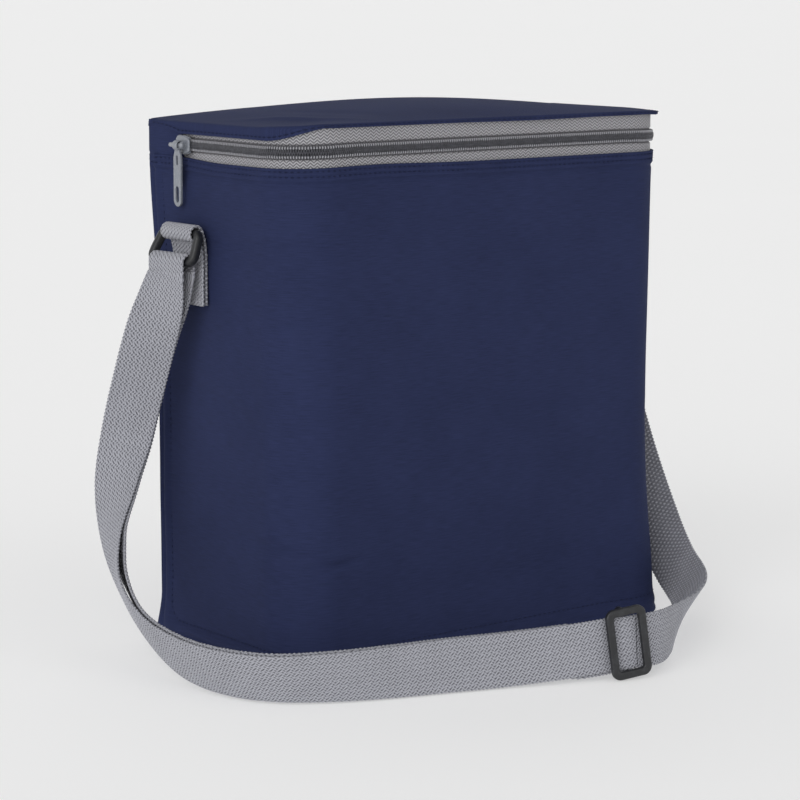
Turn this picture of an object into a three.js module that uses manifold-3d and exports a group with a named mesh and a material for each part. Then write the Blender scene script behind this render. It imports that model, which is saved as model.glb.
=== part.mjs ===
// Insulated cooler bag: a soft box of polyester, foam and foil lining with a zipped lid
// and an adjustable webbing shoulder strap that hangs to the ground in front of it.
// Millimetres, +Z up, -Y is the front. The origin is the middle of the base's underside.

import * as THREE from "three";
import * as BufferGeometryUtils from "three/addons/utils/BufferGeometryUtils.js";
import Module from "manifold-3d";

const { smoothstep, degToRad } = THREE.MathUtils;
const wasm = await Module();
wasm.setup();

// Driving dimensions
const WIDTH = 230;
const DEPTH = 115;
const HEIGHT = 250;            // to the lid's rim
const CORNER_RADIUS = 26;      // of the wrap-round front corners
const CORNER_STEPS = 10;
const GAP = 0.3;               // between pieces that touch
const FABRIC = 0.8;
const FOAM = 3;
const LINING = 0.5;
const HEM_Z = 233;             // top of the body fabric
const CROWN = 6;               // how far the lid bulges above its rim
const FOLD_Y = 33.5;           // the lid folds between the two ends of the zip
const FOLD_CLEARANCE = 0.3;    // from the fold line to either part of the lid
const LID_RIM = 3.2;           // height of the lid's turned-down hem
const LID_LAYER_GAP = 0.8;     // between the lid's bulging layers

// Zip
const ZIP_Z = 239.8;           // the zip's centre line
const ZIP_END_Y = 29;
const TAPE = 0.5;
const TAPE_TUCK = 5;           // how far the tape runs down behind the hem
const COIL_HEIGHT = 1.8;
const COIL_THICKNESS = 1.7;
const ROW_GAP = 1.4;           // the slider's post runs between the rows
const SLIDER_Y = 27;
const SLIDER_LENGTH = 11;
const SLIDER_WIDTH = 8.8;
const SLIDER_PLATE = 1.1;
const POST_WIDTH = 0.8;
const PIN_RADIUS = 1.1;
const LUG_SPREAD = 3;          // from the slider's middle to the middle of each lug
const LUG_WIDTH = 1.6;
const PULL_LENGTH = 29;
const PULL_WIDTH = 6;
const PULL_PLATE = 1.4;
const PULL_NECK = 1.9;         // half the width of its neck
const PULL_SHOULDER = 6;       // from the pin to where it is full width
const PULL_SLOT = { half: 1.3, length: 5 };
const PULL_TILT = degToRad(4); // it leans in towards the side

// Webbing, rings and tri-glide
const WEBBING_WIDTH = 25;
const WEBBING = 1.4;
const TAB_Y = 22;
const TAB_END_Z = 166.5;
const TAB_AXIS = { out: 121.3, z: 200 };     // middle of the bar that the tab holds
const RING_TILT = degToRad(24);
const RING_OUTER = { width: 33.4, height: 18 };
const RING_BAR = 3.8;
const RING_THICKNESS = 3.4;
const RING_BEVEL = 0.8;
const LOOP_RADIUS = 3.35;      // of the webbing's middle, round a ring's bar
const RETURN_OFFSET = 2.1;     // between the strap's two layers, middle to middle
const GLIDE = { width: 20, height: 33, bar: 3.2, centreBar: 2.8, thickness: 2.2 };
const GLIDE_CLEARANCE = 1;     // the strap runs through in a shallow curve

const COLOURS = {
  navy: { color: 0x1c2340, roughness: 0.75, metalness: 0 },
  foam: { color: 0xe9e9e6, roughness: 0.9, metalness: 0 },
  foil: { color: 0xc9ccd0, roughness: 0.3, metalness: 0.7 },
  tape: { color: 0x75757b, roughness: 0.8, metalness: 0 },
  coil: { color: 0x8a8b92, roughness: 0.5, metalness: 0 },
  slider: { color: 0x74777c, roughness: 0.45, metalness: 0.5 },
  webbing: { color: 0x8d8e95, roughness: 0.85, metalness: 0 },
  plastic: { color: 0x202124, roughness: 0.5, metalness: 0 },
};

const bag = new THREE.Group();

function addMesh(name, geometry, finish, parent = bag) {
  const mesh = new THREE.Mesh(geometry, new THREE.MeshStandardMaterial(COLOURS[finish]));
  mesh.name = name;
  parent.add(mesh);
  return mesh;
}

// Booleans

function toSolid(geometry) {
  const bare = geometry.clone();
  bare.deleteAttribute("normal");
  bare.deleteAttribute("uv");
  const merged = BufferGeometryUtils.mergeVertices(bare, 1e-4);
  const mesh = new wasm.Mesh({
    numProp: 3,
    vertProperties: new Float32Array(merged.attributes.position.array),
    triVerts: new Uint32Array(merged.index.array),
  });
  return new wasm.Manifold(mesh);
}

function toGeometry(solid) {
  const mesh = solid.getMesh();
  const geometry = new THREE.BufferGeometry();
  geometry.setAttribute("position", new THREE.BufferAttribute(mesh.vertProperties, 3));
  geometry.setIndex(new THREE.BufferAttribute(mesh.triVerts, 1));
  geometry.computeVertexNormals();
  return geometry;
}

function union(...geometries) {
  return toGeometry(geometries.map(toSolid).reduce((whole, piece) => whole.add(piece)));
}

function subtract(geometry, ...cutters) {
  const cut = cutters.map(toSolid).reduce((whole, piece) => whole.subtract(piece), toSolid(geometry));
  return toGeometry(cut);
}

// Plan outlines and panels

function box(low, high) {
  const size = high.map((value, axis) => value - low[axis]);
  const middle = high.map((value, axis) => (value + low[axis]) / 2);
  return new THREE.BoxGeometry(...size).translate(...middle);
}

// The wall's line in plan, set in from the outside: left side, front and right side.
function wallLine(inset, backY) {
  const radius = CORNER_RADIUS - inset;
  const left = -WIDTH / 2 + CORNER_RADIUS;
  const front = -DEPTH / 2 + CORNER_RADIUS;
  const points = [new THREE.Vector2(-WIDTH / 2 + inset, backY)];
  for (let step = 0; step <= CORNER_STEPS; step += 1) {
    const angle = (step / CORNER_STEPS) * (Math.PI / 2);
    points.push(new THREE.Vector2(left - radius * Math.cos(angle), front - radius * Math.sin(angle)));
  }
  const mirrored = points.map((point) => new THREE.Vector2(-point.x, point.y)).reverse();
  return [...points, ...mirrored];
}

function extrudeUp(outline, lowZ, highZ) {
  const options = { depth: highZ - lowZ, bevelEnabled: false };
  return new THREE.ExtrudeGeometry(new THREE.Shape(outline), options).translate(0, 0, lowZ);
}

function wallPanel(inset, thickness, backY, lowZ, highZ) {
  const outline = [...wallLine(inset, backY), ...wallLine(inset + thickness, backY).reverse()];
  return extrudeUp(outline, lowZ, highZ);
}

function backPlate(inset, sideInset, thickness, lowZ, highZ) {
  const outside = DEPTH / 2 - inset;
  const side = WIDTH / 2 - sideInset;
  return box([-side, outside - thickness, lowZ], [side, outside, highZ]);
}

function crownAt(x, y) {
  return CROWN * Math.max(0, 1 - (2 * x / WIDTH) ** 2) * Math.max(0, 1 - (2 * y / DEPTH) ** 2);
}

// A flat sheet in plan that bulges with the lid, as strips from side to side.
function crownedSheet(inset, backY, frontY, lowZ, thickness) {
  const shape = frontY === undefined
    ? new THREE.Shape(wallLine(inset, backY))
    : new THREE.Shape([
      new THREE.Vector2(-WIDTH / 2 + inset, backY),
      new THREE.Vector2(-WIDTH / 2 + inset, frontY),
      new THREE.Vector2(WIDTH / 2 - inset, frontY),
      new THREE.Vector2(WIDTH / 2 - inset, backY),
    ]);
  const rows = frontY === undefined ? 6 : 2;
  const columns = 10;
  const plate = toSolid(new THREE.ExtrudeGeometry(shape, { depth: thickness, bevelEnabled: false }));
  const lowY = frontY ?? -DEPTH / 2;
  const cells = [];
  for (let row = 1; row < rows; row += 1) {
    cells.push([[0, 1, 0], lowY + ((backY - lowY) * row) / rows]);
  }
  for (let column = 1; column < columns; column += 1) {
    cells.push([[1, 0, 0], -WIDTH / 2 + (WIDTH * column) / columns]);
  }
  let pieces = [plate];
  for (const [normal, offset] of cells) {
    pieces = pieces
      .flatMap((piece) => piece.splitByPlane(normal, offset))
      .filter((piece) => !piece.isEmpty());
  }
  const raised = pieces.map((piece) => piece.warp((vertex) => {
    vertex[2] += lowZ + crownAt(vertex[0], vertex[1]);
  }));
  return toGeometry(raised.reduce((whole, piece) => whole.add(piece)));
}

// Body: three layers of wall, back and base

const foamInset = FABRIC + GAP;
const liningInset = foamInset + FOAM + GAP;
const innerInset = liningInset + LINING + GAP;
const fabricBackY = DEPTH / 2 - FABRIC - GAP;
const tapeLowZ = HEM_Z - TAPE_TUCK;
const lidUnderZ = HEIGHT - FABRIC;
const baseLiningZ = foamInset + FOAM + GAP;

function buildBody() {
  addMesh("front_side_panel", wallPanel(0, FABRIC, fabricBackY, 0, HEM_Z), "navy");
  addMesh("back_panel", backPlate(0, 0, FABRIC, 0, lidUnderZ - GAP), "navy");
  addMesh("base_panel", extrudeUp(wallLine(foamInset, fabricBackY), 0, FABRIC), "navy");

  const foamBackY = DEPTH / 2 - liningInset;
  addMesh("wall_foam", wallPanel(foamInset, FOAM, foamBackY, foamInset, tapeLowZ - GAP), "foam");
  addMesh("back_foam", backPlate(foamInset, foamInset, FOAM, foamInset, HEM_Z), "foam");
  addMesh("base_foam", extrudeUp(wallLine(liningInset, foamBackY), foamInset, foamInset + FOAM), "foam");

  const liningBackY = DEPTH / 2 - innerInset;
  const wallLining = wallPanel(liningInset, LINING, liningBackY, baseLiningZ, HEM_Z);
  addMesh("wall_lining", wallLining, "foil");
  addMesh("back_lining", backPlate(liningInset, liningInset, LINING, baseLiningZ, HEM_Z), "foil");
  const baseLining = extrudeUp(wallLine(innerInset, liningBackY), baseLiningZ, baseLiningZ + LINING);
  addMesh("base_lining", baseLining, "foil");
}

// Lid: the front part folds up, and the strip behind the zip's ends stays on the body

const lidFoamZ = lidUnderZ - LID_LAYER_GAP - FOAM;
const lidLiningZ = lidFoamZ - LID_LAYER_GAP - LINING;
const lidRimZ = HEIGHT - LID_RIM;
const lidInset = FABRIC + GAP + TAPE + GAP + FABRIC;

function buildLid() {
  const frontEdge = FOLD_Y - FOLD_CLEARANCE;
  const rearEdge = FOLD_Y + FOLD_CLEARANCE;
  const rim = wallPanel(0, FABRIC, frontEdge, lidRimZ, HEIGHT - FABRIC / 2);
  const top = crownedSheet(0, frontEdge, undefined, lidUnderZ, FABRIC);
  addMesh("lid_panel", union(top, rim), "navy");
  addMesh("lid_foam", crownedSheet(lidInset, frontEdge, undefined, lidFoamZ, FOAM), "foam");
  addMesh("lid_lining", crownedSheet(lidInset, frontEdge, undefined, lidLiningZ, LINING), "foil");

  const back = DEPTH / 2;
  const foamBack = fabricBackY - GAP;
  addMesh("rear_lid_panel", crownedSheet(0, back, rearEdge, lidUnderZ, FABRIC), "navy");
  addMesh("rear_lid_foam", crownedSheet(lidInset, foamBack, rearEdge, lidFoamZ, FOAM), "foam");
  addMesh("rear_lid_lining", crownedSheet(lidInset, foamBack, rearEdge, lidLiningZ, LINING), "foil");
  for (const [name, side] of [["gusset_left", -1], ["gusset_right", 1]]) {
    const outside = side * (WIDTH / 2);
    const inside = side * (WIDTH / 2 - FABRIC);
    const low = [Math.min(outside, inside), rearEdge, HEM_Z + GAP];
    const high = [Math.max(outside, inside), fabricBackY, lidUnderZ - GAP];
    addMesh(name, box(low, high), "navy");
  }
}

// Zip: two tapes with a coil row on each, a slider and its pull

const tapeInset = FABRIC + GAP;
const coilInset = tapeInset - GAP - COIL_THICKNESS;

function buildZip() {
  const lowEdge = ZIP_Z - ROW_GAP / 2;
  const highEdge = ZIP_Z + ROW_GAP / 2;
  addMesh("zip_tape_lower", wallPanel(tapeInset, TAPE, ZIP_END_Y, tapeLowZ, lowEdge), "tape");
  addMesh("zip_tape_upper", wallPanel(tapeInset, TAPE, ZIP_END_Y, highEdge, lidRimZ - GAP), "tape");
  const lowerCoil = wallPanel(coilInset, COIL_THICKNESS, ZIP_END_Y, lowEdge - COIL_HEIGHT, lowEdge);
  const upperCoil = wallPanel(coilInset, COIL_THICKNESS, ZIP_END_Y, highEdge, highEdge + COIL_HEIGHT);
  addMesh("zip_teeth_lower", lowerCoil, "coil");
  addMesh("zip_teeth_upper", upperCoil, "coil");
}

// Everything on the slider is drawn with "out" as the distance from the bag's middle plane.
const outerPlateIn = WIDTH / 2 - coilInset + GAP;
const outerPlateOut = outerPlateIn + SLIDER_PLATE;
const innerPlateOut = WIDTH / 2 - tapeInset - TAPE - GAP;
const innerPlateIn = innerPlateOut - SLIDER_PLATE;
const pinOut = outerPlateOut + PIN_RADIUS + 1.3;

function sliderPlate(inOut, outOut) {
  const half = SLIDER_WIDTH / 2;
  const wide = SLIDER_Y + SLIDER_LENGTH / 2;
  const narrow = SLIDER_Y - SLIDER_LENGTH / 2;
  const waist = 0.78;
  const outline = new THREE.Shape();
  outline.moveTo(narrow, -half * waist);
  outline.lineTo(SLIDER_Y, -half * waist);
  outline.quadraticCurveTo(wide - 4, -half, wide - 2, -half);
  outline.quadraticCurveTo(wide, -half, wide, 0);
  outline.quadraticCurveTo(wide, half, wide - 2, half);
  outline.quadraticCurveTo(wide - 4, half, SLIDER_Y, half * waist);
  outline.lineTo(narrow, half * waist);
  outline.closePath();
  const plate = new THREE.ExtrudeGeometry(outline, {
    depth: outOut - inOut, bevelEnabled: false, curveSegments: 4,
  });
  const toSide = new THREE.Matrix4().makeBasis(
    new THREE.Vector3(0, 1, 0), new THREE.Vector3(0, 0, 1), new THREE.Vector3(1, 0, 0),
  );
  return plate.applyMatrix4(toSide).translate(-outOut, 0, ZIP_Z);
}

function alongY(radius, lowY, highY, segments = 16) {
  const bar = new THREE.CylinderGeometry(radius, radius, highY - lowY, segments);
  return bar.translate(0, (lowY + highY) / 2, 0);
}

function buildSlider() {
  const wide = SLIDER_Y + SLIDER_LENGTH / 2;
  const post = box(
    [-outerPlateIn - 0.2, wide - 3, ZIP_Z - POST_WIDTH / 2],
    [-innerPlateOut + 0.2, wide - 0.6, ZIP_Z + POST_WIDTH / 2],
  );
  const lugs = [-1, 1].map((end) => {
    const middle = SLIDER_Y + end * LUG_SPREAD;
    return box(
      [-pinOut - PIN_RADIUS, middle - LUG_WIDTH / 2, ZIP_Z - PIN_RADIUS - 0.4],
      [-outerPlateOut + 0.2, middle + LUG_WIDTH / 2, ZIP_Z + PIN_RADIUS + 0.4],
    );
  });
  const pin = alongY(PIN_RADIUS, SLIDER_Y - 4.6, SLIDER_Y + 6.6).translate(-pinOut, 0, ZIP_Z);
  const plates = [
    sliderPlate(outerPlateIn, outerPlateOut),
    sliderPlate(innerPlateIn, innerPlateOut),
  ];
  addMesh("zip_slider", union(...plates, post, ...lugs, pin), "slider");
}

function buildPull() {
  const eyeRadius = PIN_RADIUS + GAP;
  const knuckle = alongY(eyeRadius + 0.9, SLIDER_Y - PULL_NECK, SLIDER_Y + PULL_NECK);
  const half = PULL_WIDTH / 2;
  const neckEnd = eyeRadius + 0.9;
  const outline = new THREE.Shape();
  outline.moveTo(-PULL_NECK, 0);
  outline.lineTo(-PULL_NECK, -neckEnd);
  outline.lineTo(-half, -PULL_SHOULDER);
  outline.lineTo(-half, -PULL_LENGTH + half);
  outline.absarc(0, -PULL_LENGTH + half, half, Math.PI, 2 * Math.PI, false);
  outline.lineTo(half, -PULL_SHOULDER);
  outline.lineTo(PULL_NECK, -neckEnd);
  outline.lineTo(PULL_NECK, 0);
  outline.closePath();
  const slot = new THREE.Path();
  const slotLow = -PULL_LENGTH + half + GAP;
  slot.absarc(0, slotLow, PULL_SLOT.half, Math.PI, 2 * Math.PI, false);
  slot.absarc(0, slotLow + PULL_SLOT.length, PULL_SLOT.half, 0, Math.PI, false);
  outline.holes.push(slot);
  const blade = new THREE.ExtrudeGeometry(outline, {
    depth: PULL_PLATE, bevelEnabled: false, curveSegments: 8,
  });
  const toSide = new THREE.Matrix4().makeBasis(
    new THREE.Vector3(0, 1, 0), new THREE.Vector3(0, 0, 1), new THREE.Vector3(1, 0, 0),
  );
  blade.applyMatrix4(toSide).translate(-PULL_PLATE / 2, SLIDER_Y, 0).rotateY(-PULL_TILT);
  const eye = alongY(eyeRadius, SLIDER_Y - 2 * PULL_NECK, SLIDER_Y + 2 * PULL_NECK);
  const pull = subtract(union(knuckle, blade), eye);
  addMesh("zip_pull", pull, "slider").position.set(-pinOut, 0, ZIP_Z);
}

// Webbing drawn on edge: a strip along a line in the plane of "out" and height

function strip(points, thickness) {
  const left = [];
  const right = [];
  points.forEach((point, index) => {
    const before = points[Math.max(index - 1, 0)];
    const after = points[Math.min(index + 1, points.length - 1)];
    const along = after.clone().sub(before).normalize();
    const across = new THREE.Vector2(-along.y, along.x).multiplyScalar(thickness / 2);
    left.push(point.clone().add(across));
    right.push(point.clone().sub(across));
  });
  return new THREE.Shape([...left, ...right.reverse()]);
}

function arc(centre, radius, fromDegrees, toDegrees, steps) {
  const points = [];
  for (let step = 0; step <= steps; step += 1) {
    const angle = degToRad(fromDegrees + ((toDegrees - fromDegrees) * step) / steps);
    points.push(new THREE.Vector2(
      centre.out + radius * Math.cos(angle), centre.z + radius * Math.sin(angle),
    ));
  }
  return points;
}

// Turns a strip drawn in (out, height) into webbing on the bag's left or right side.
function sideWebbing(points, side) {
  const band = new THREE.ExtrudeGeometry(strip(points, WEBBING), {
    depth: WEBBING_WIDTH, bevelEnabled: false,
  });
  const turn = new THREE.Matrix4().makeBasis(
    new THREE.Vector3(side, 0, 0), new THREE.Vector3(0, 0, 1), new THREE.Vector3(0, -side, 0),
  );
  return band.applyMatrix4(turn).translate(0, TAB_Y + side * (WEBBING_WIDTH / 2), 0);
}

const strapBar = {
  out: TAB_AXIS.out + (RING_OUTER.height - RING_BAR) * Math.sin(RING_TILT),
  z: TAB_AXIS.z - (RING_OUTER.height - RING_BAR) * Math.cos(RING_TILT),
};

// A tab: sewn flat to the side, up and over the ring's bar, and back down over itself.
function buildTab(name, side) {
  const wall = WIDTH / 2 + GAP + WEBBING / 2;
  const points = [
    new THREE.Vector2(wall, TAB_END_Z),
    new THREE.Vector2(wall, 188),
    new THREE.Vector2(wall + 0.2, 192),
    new THREE.Vector2(wall + 0.9, 197),
    ...arc(TAB_AXIS, LOOP_RADIUS, 165, -115, 12),
    new THREE.Vector2(wall + WEBBING + 1.1, 193.5),
    new THREE.Vector2(wall + WEBBING + GAP, 189),
    new THREE.Vector2(wall + WEBBING + GAP, TAB_END_Z),
  ];
  addMesh(name, sideWebbing(points, side), "webbing");
}

function roundedRectangle(shape, width, height, radius) {
  const x = width / 2 - radius;
  const y = height / 2 - radius;
  shape.absarc(x, y, radius, 0, Math.PI / 2, false);
  shape.absarc(-x, y, radius, Math.PI / 2, Math.PI, false);
  shape.absarc(-x, -y, radius, Math.PI, 1.5 * Math.PI, false);
  shape.absarc(x, -y, radius, 1.5 * Math.PI, 2 * Math.PI, false);
  shape.closePath();
  return shape;
}

function buildRing(name, side) {
  const { width, height } = RING_OUTER;
  const outer = roundedRectangle(
    new THREE.Shape(), width - 2 * RING_BEVEL, height - 2 * RING_BEVEL, 3,
  );
  const holeWidth = width - 2 * RING_BAR + 2 * RING_BEVEL;
  const holeHeight = height - 2 * RING_BAR + 2 * RING_BEVEL;
  outer.holes.push(roundedRectangle(new THREE.Path(), holeWidth, holeHeight, 2));
  const ring = new THREE.ExtrudeGeometry(outer, {
    depth: RING_THICKNESS - 2 * RING_BEVEL,
    bevelThickness: RING_BEVEL,
    bevelSize: RING_BEVEL,
    bevelSegments: 2,
    curveSegments: 4,
  });
  ring.translate(0, -height / 2 + RING_BAR / 2, -RING_THICKNESS / 2 + RING_BEVEL);
  const stand = new THREE.Matrix4().makeBasis(
    new THREE.Vector3(0, side, 0), new THREE.Vector3(0, 0, 1), new THREE.Vector3(side, 0, 0),
  );
  ring.applyMatrix4(stand);
  ring.rotateY(-side * RING_TILT);
  addMesh(name, ring, "plastic").position.set(side * TAB_AXIS.out, TAB_Y, TAB_AXIS.z);
}

// The strap's webbing where it turns over a ring's lower bar.
const LOOP_LEG_Z = strapBar.z - 3.6;

function buildLoop(name, side, innerLegZ) {
  const outside = strapBar.out + LOOP_RADIUS;
  const inside = strapBar.out - LOOP_RADIUS;
  const points = [
    new THREE.Vector2(outside, LOOP_LEG_Z),
    ...arc(strapBar, LOOP_RADIUS, 0, 180, 10),
    new THREE.Vector2(inside, LOOP_LEG_Z),
  ];
  if (innerLegZ < LOOP_LEG_Z) {
    points.push(new THREE.Vector2(inside, innerLegZ));
  }
  addMesh(name, sideWebbing(points, side), "webbing");
}

// The strap's route: [x, y, z] of its middle and the direction from its upper to its lower edge.
// It leaves the left ring, bows outwards to the ground, runs round the front standing on
// its edge, and turns back up to the right ring.
const ROUTE = [
  [[-130.5, 22, 181], [-0.02, 1, 0]],
  [[-132, 24, 170], [-0.3, 0.93, 0.15]],
  [[-134, 27, 156], [-0.6, 0.76, 0.25]],
  [[-136, 33, 134], [-0.74, 0.62, 0.27]],
  [[-140, 39, 108], [-0.66, 0.72, 0.22]],
  [[-148, 38, 83], [-0.36, 0.92, -0.1]],
  [[-155, 31, 58], [0.14, 0.87, -0.46]],
  [[-159, 16, 37], [0.48, 0.6, -0.63]],
  [[-160, -7, 21.5], [0.5, 0.35, -0.78]],
  [[-160, -32, 14.5], [0.4, 0.2, -0.9]],
  [[-156, -58, 12.6], [0.36, 0.17, -0.92]],
  [[-144, -81, 12.4], [0.3, 0.25, -0.92]],
  [[-121, -96, 12.6], [0.16, 0.24, -0.96]],
  [[-96, -105, 12.8], [0.06, 0.14, -0.99]],
  [[-70, -112, 13], [0.02, 0.02, -1]],
  [[-44, -120, 13.2], [0.02, -0.06, -1]],
  [[-18, -130, 14.6], [0.02, -0.06, -1]],
  [[6, -138, 16.4], [0.03, -0.06, -1]],
  [[28, -142, 16.8], [0, -0.05, -1]],
  [[52, -129, 15.4], [-0.1, 0.1, -0.99]],
  [[80, -107, 14.4], [-0.34, 0.36, -0.86]],
  [[103, -87, 14], [-0.4, 0.42, -0.8]],
  [[120, -67, 15.6], [-0.44, 0.5, -0.74]],
  [[129, -50, 22], [-0.46, 0.58, -0.67]],
  [[133, -34, 38], [-0.62, 0.6, -0.48]],
  [[134, -20, 60], [-0.75, 0.55, -0.34]],
  [[134, -8, 84], [-0.74, 0.62, -0.24]],
  [[134, 3, 110], [-0.6, 0.76, -0.2]],
  [[133, 12, 138], [-0.38, 0.9, -0.18]],
  [[131.5, 19, 164], [-0.12, 0.98, -0.1]],
  [[130.5, 22, 181], [0, 1, 0]],
];
const GLIDE_STATION = 17.4;    // where the tri-glide sits, counted in route points
const STRAP_STEPS = 5;         // sections to each stretch between route points

const centres = new THREE.CatmullRomCurve3(ROUTE.map(([place]) => new THREE.Vector3(...place)));
const edges = new THREE.CatmullRomCurve3(ROUTE.map(([, edge]) => new THREE.Vector3(...edge)));

// The frame at a station: its middle, and the directions along, across and out of the strap.
function strapFrame(station) {
  const share = station / (ROUTE.length - 1);
  const along = centres.getTangent(share);
  const across = edges.getPoint(share);
  across.addScaledVector(along, -across.dot(along)).normalize();
  const out = new THREE.Vector3().crossVectors(across, along).normalize();
  return { middle: centres.getPoint(share), along, across, out };
}

// How far the returning layer lies inside the outer one: wide where both leave the ring,
// close together below, with a slack bulge where the strap turns towards the front.
function returnOffset(station) {
  const atRing = (2 * LOOP_RADIUS - RETURN_OFFSET) * (1 - smoothstep(station, 0, 3.2));
  const slack = 3.2 * smoothstep(station, 4, 6) * (1 - smoothstep(station, 7, 9));
  return RETURN_OFFSET + atRing + slack;
}

function strapRun(fromStation, toStation, inwardAt) {
  const steps = Math.round((toStation - fromStation) * STRAP_STEPS);
  const run = new THREE.BoxGeometry(WEBBING, WEBBING_WIDTH, 1, 1, 2, steps);
  const place = run.attributes.position;
  for (let index = 0; index < place.count; index += 1) {
    const share = place.getZ(index) + 0.5;
    const station = fromStation + (toStation - fromStation) * share;
    const { middle, across, out } = strapFrame(station);
    middle.addScaledVector(out, place.getX(index) - inwardAt(station));
    middle.addScaledVector(across, place.getY(index));
    place.setXYZ(index, middle.x, middle.y, middle.z);
  }
  run.computeVertexNormals();
  return run;
}

function buildStrap() {
  const last = ROUTE.length - 1;
  addMesh("strap_outer_layer", strapRun(0, GLIDE_STATION - 0.01, () => 0), "webbing");
  addMesh("strap_right_run", strapRun(GLIDE_STATION + 0.01, last, () => 0), "webbing");
  const barStation = GLIDE_STATION - 0.2;
  addMesh("strap_return_layer", strapRun(0, barStation, returnOffset), "webbing");
}

// The tri-glide: a frame in front of the strap and a middle bar behind it, joined above
// and below the webbing.
function buildGlide() {
  const { width, height, bar, centreBar, thickness } = GLIDE;
  const front = WEBBING / 2 + GLIDE_CLEARANCE;
  const frame = roundedRectangle(new THREE.Shape(), width, height, 3.5);
  frame.holes.push(roundedRectangle(new THREE.Path(), width - 2 * bar, height - 2 * bar, 1));
  const plate = new THREE.ExtrudeGeometry(frame, {
    depth: thickness, bevelEnabled: false, curveSegments: 4,
  });
  plate.translate(0, 0, front);
  const rest = height / 2;
  const barBack = box([-centreBar / 2, -rest + 0.6, -front - thickness], [centreBar / 2, rest - 0.6, -front]);
  const ends = [-1, 1].map((end) => {
    const inner = end * (WEBBING_WIDTH / 2 + GAP);
    const outer = end * (rest - 0.6);
    return box(
      [-centreBar / 2, Math.min(inner, outer), -front - thickness],
      [centreBar / 2, Math.max(inner, outer), front + 0.2],
    );
  });
  const glide = union(plate, barBack, ...ends);
  const { middle, along, across, out } = strapFrame(GLIDE_STATION);
  const lie = new THREE.Matrix4().makeBasis(along, across.clone().negate(), out);
  const lift = Math.max(0, height / 2 * Math.abs(across.z) - middle.z + 0.4);
  glide.applyMatrix4(lie).translate(middle.x, middle.y, middle.z + lift);
  addMesh("triglide", glide, "plastic");
}

buildBody();
buildLid();
buildZip();
buildSlider();
buildPull();
buildTab("tab_left", -1);
buildTab("tab_right", 1);
buildRing("ring_left", -1);
buildRing("ring_right", 1);
buildLoop("strap_loop_left", -1, LOOP_LEG_Z);
buildLoop("strap_loop_right", 1, LOOP_LEG_Z - 25);
buildStrap();
buildGlide();

export default bag;
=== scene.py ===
"""Looks of the insulated cooler bag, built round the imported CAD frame. Lengths are in millimetres
until a mesh is made, and the frame has +Z up and -Y out of the bag's front."""
import math

import bmesh
import bpy
import numpy as np
from mathutils import Matrix, Vector


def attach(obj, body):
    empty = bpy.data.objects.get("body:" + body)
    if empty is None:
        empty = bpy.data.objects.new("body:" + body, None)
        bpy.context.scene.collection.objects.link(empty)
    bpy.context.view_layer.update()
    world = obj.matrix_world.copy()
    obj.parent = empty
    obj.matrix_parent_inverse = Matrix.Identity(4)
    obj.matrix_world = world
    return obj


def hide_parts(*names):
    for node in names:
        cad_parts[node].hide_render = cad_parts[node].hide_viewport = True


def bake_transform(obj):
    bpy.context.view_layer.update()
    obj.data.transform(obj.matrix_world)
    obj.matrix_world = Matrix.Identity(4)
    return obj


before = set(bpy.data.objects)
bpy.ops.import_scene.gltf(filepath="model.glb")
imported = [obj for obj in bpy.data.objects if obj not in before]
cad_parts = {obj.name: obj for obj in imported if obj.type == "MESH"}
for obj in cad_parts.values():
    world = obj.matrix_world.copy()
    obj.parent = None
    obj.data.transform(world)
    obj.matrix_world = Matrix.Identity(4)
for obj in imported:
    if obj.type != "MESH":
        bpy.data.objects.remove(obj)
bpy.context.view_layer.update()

MM = 0.001
UP = np.array([0.0, 0.0, 1.0])
rng = np.random.default_rng(11)


# ---------------------------------------------------------------- camera

def place_camera():
    azimuth, elevation, distance = math.radians(-37.61), math.radians(9.13), 1.31068
    target = Vector((-0.00676, 0.00521, 0.11212))
    back = Vector((
        math.sin(azimuth) * math.cos(elevation),
        -math.cos(azimuth) * math.cos(elevation),
        math.sin(elevation),
    ))
    data = bpy.data.cameras.new("camera")
    data.lens = 120.6
    data.sensor_width = 36
    data.clip_end = 400
    camera = bpy.data.objects.new("camera", data)
    camera.location = target + back * distance
    camera.rotation_euler = back.to_track_quat("Z", "Y").to_euler()
    bpy.context.scene.collection.objects.link(camera)
    bpy.context.scene.camera = camera


place_camera()


# ---------------------------------------------------------------- numbers shared with the CAD

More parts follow.
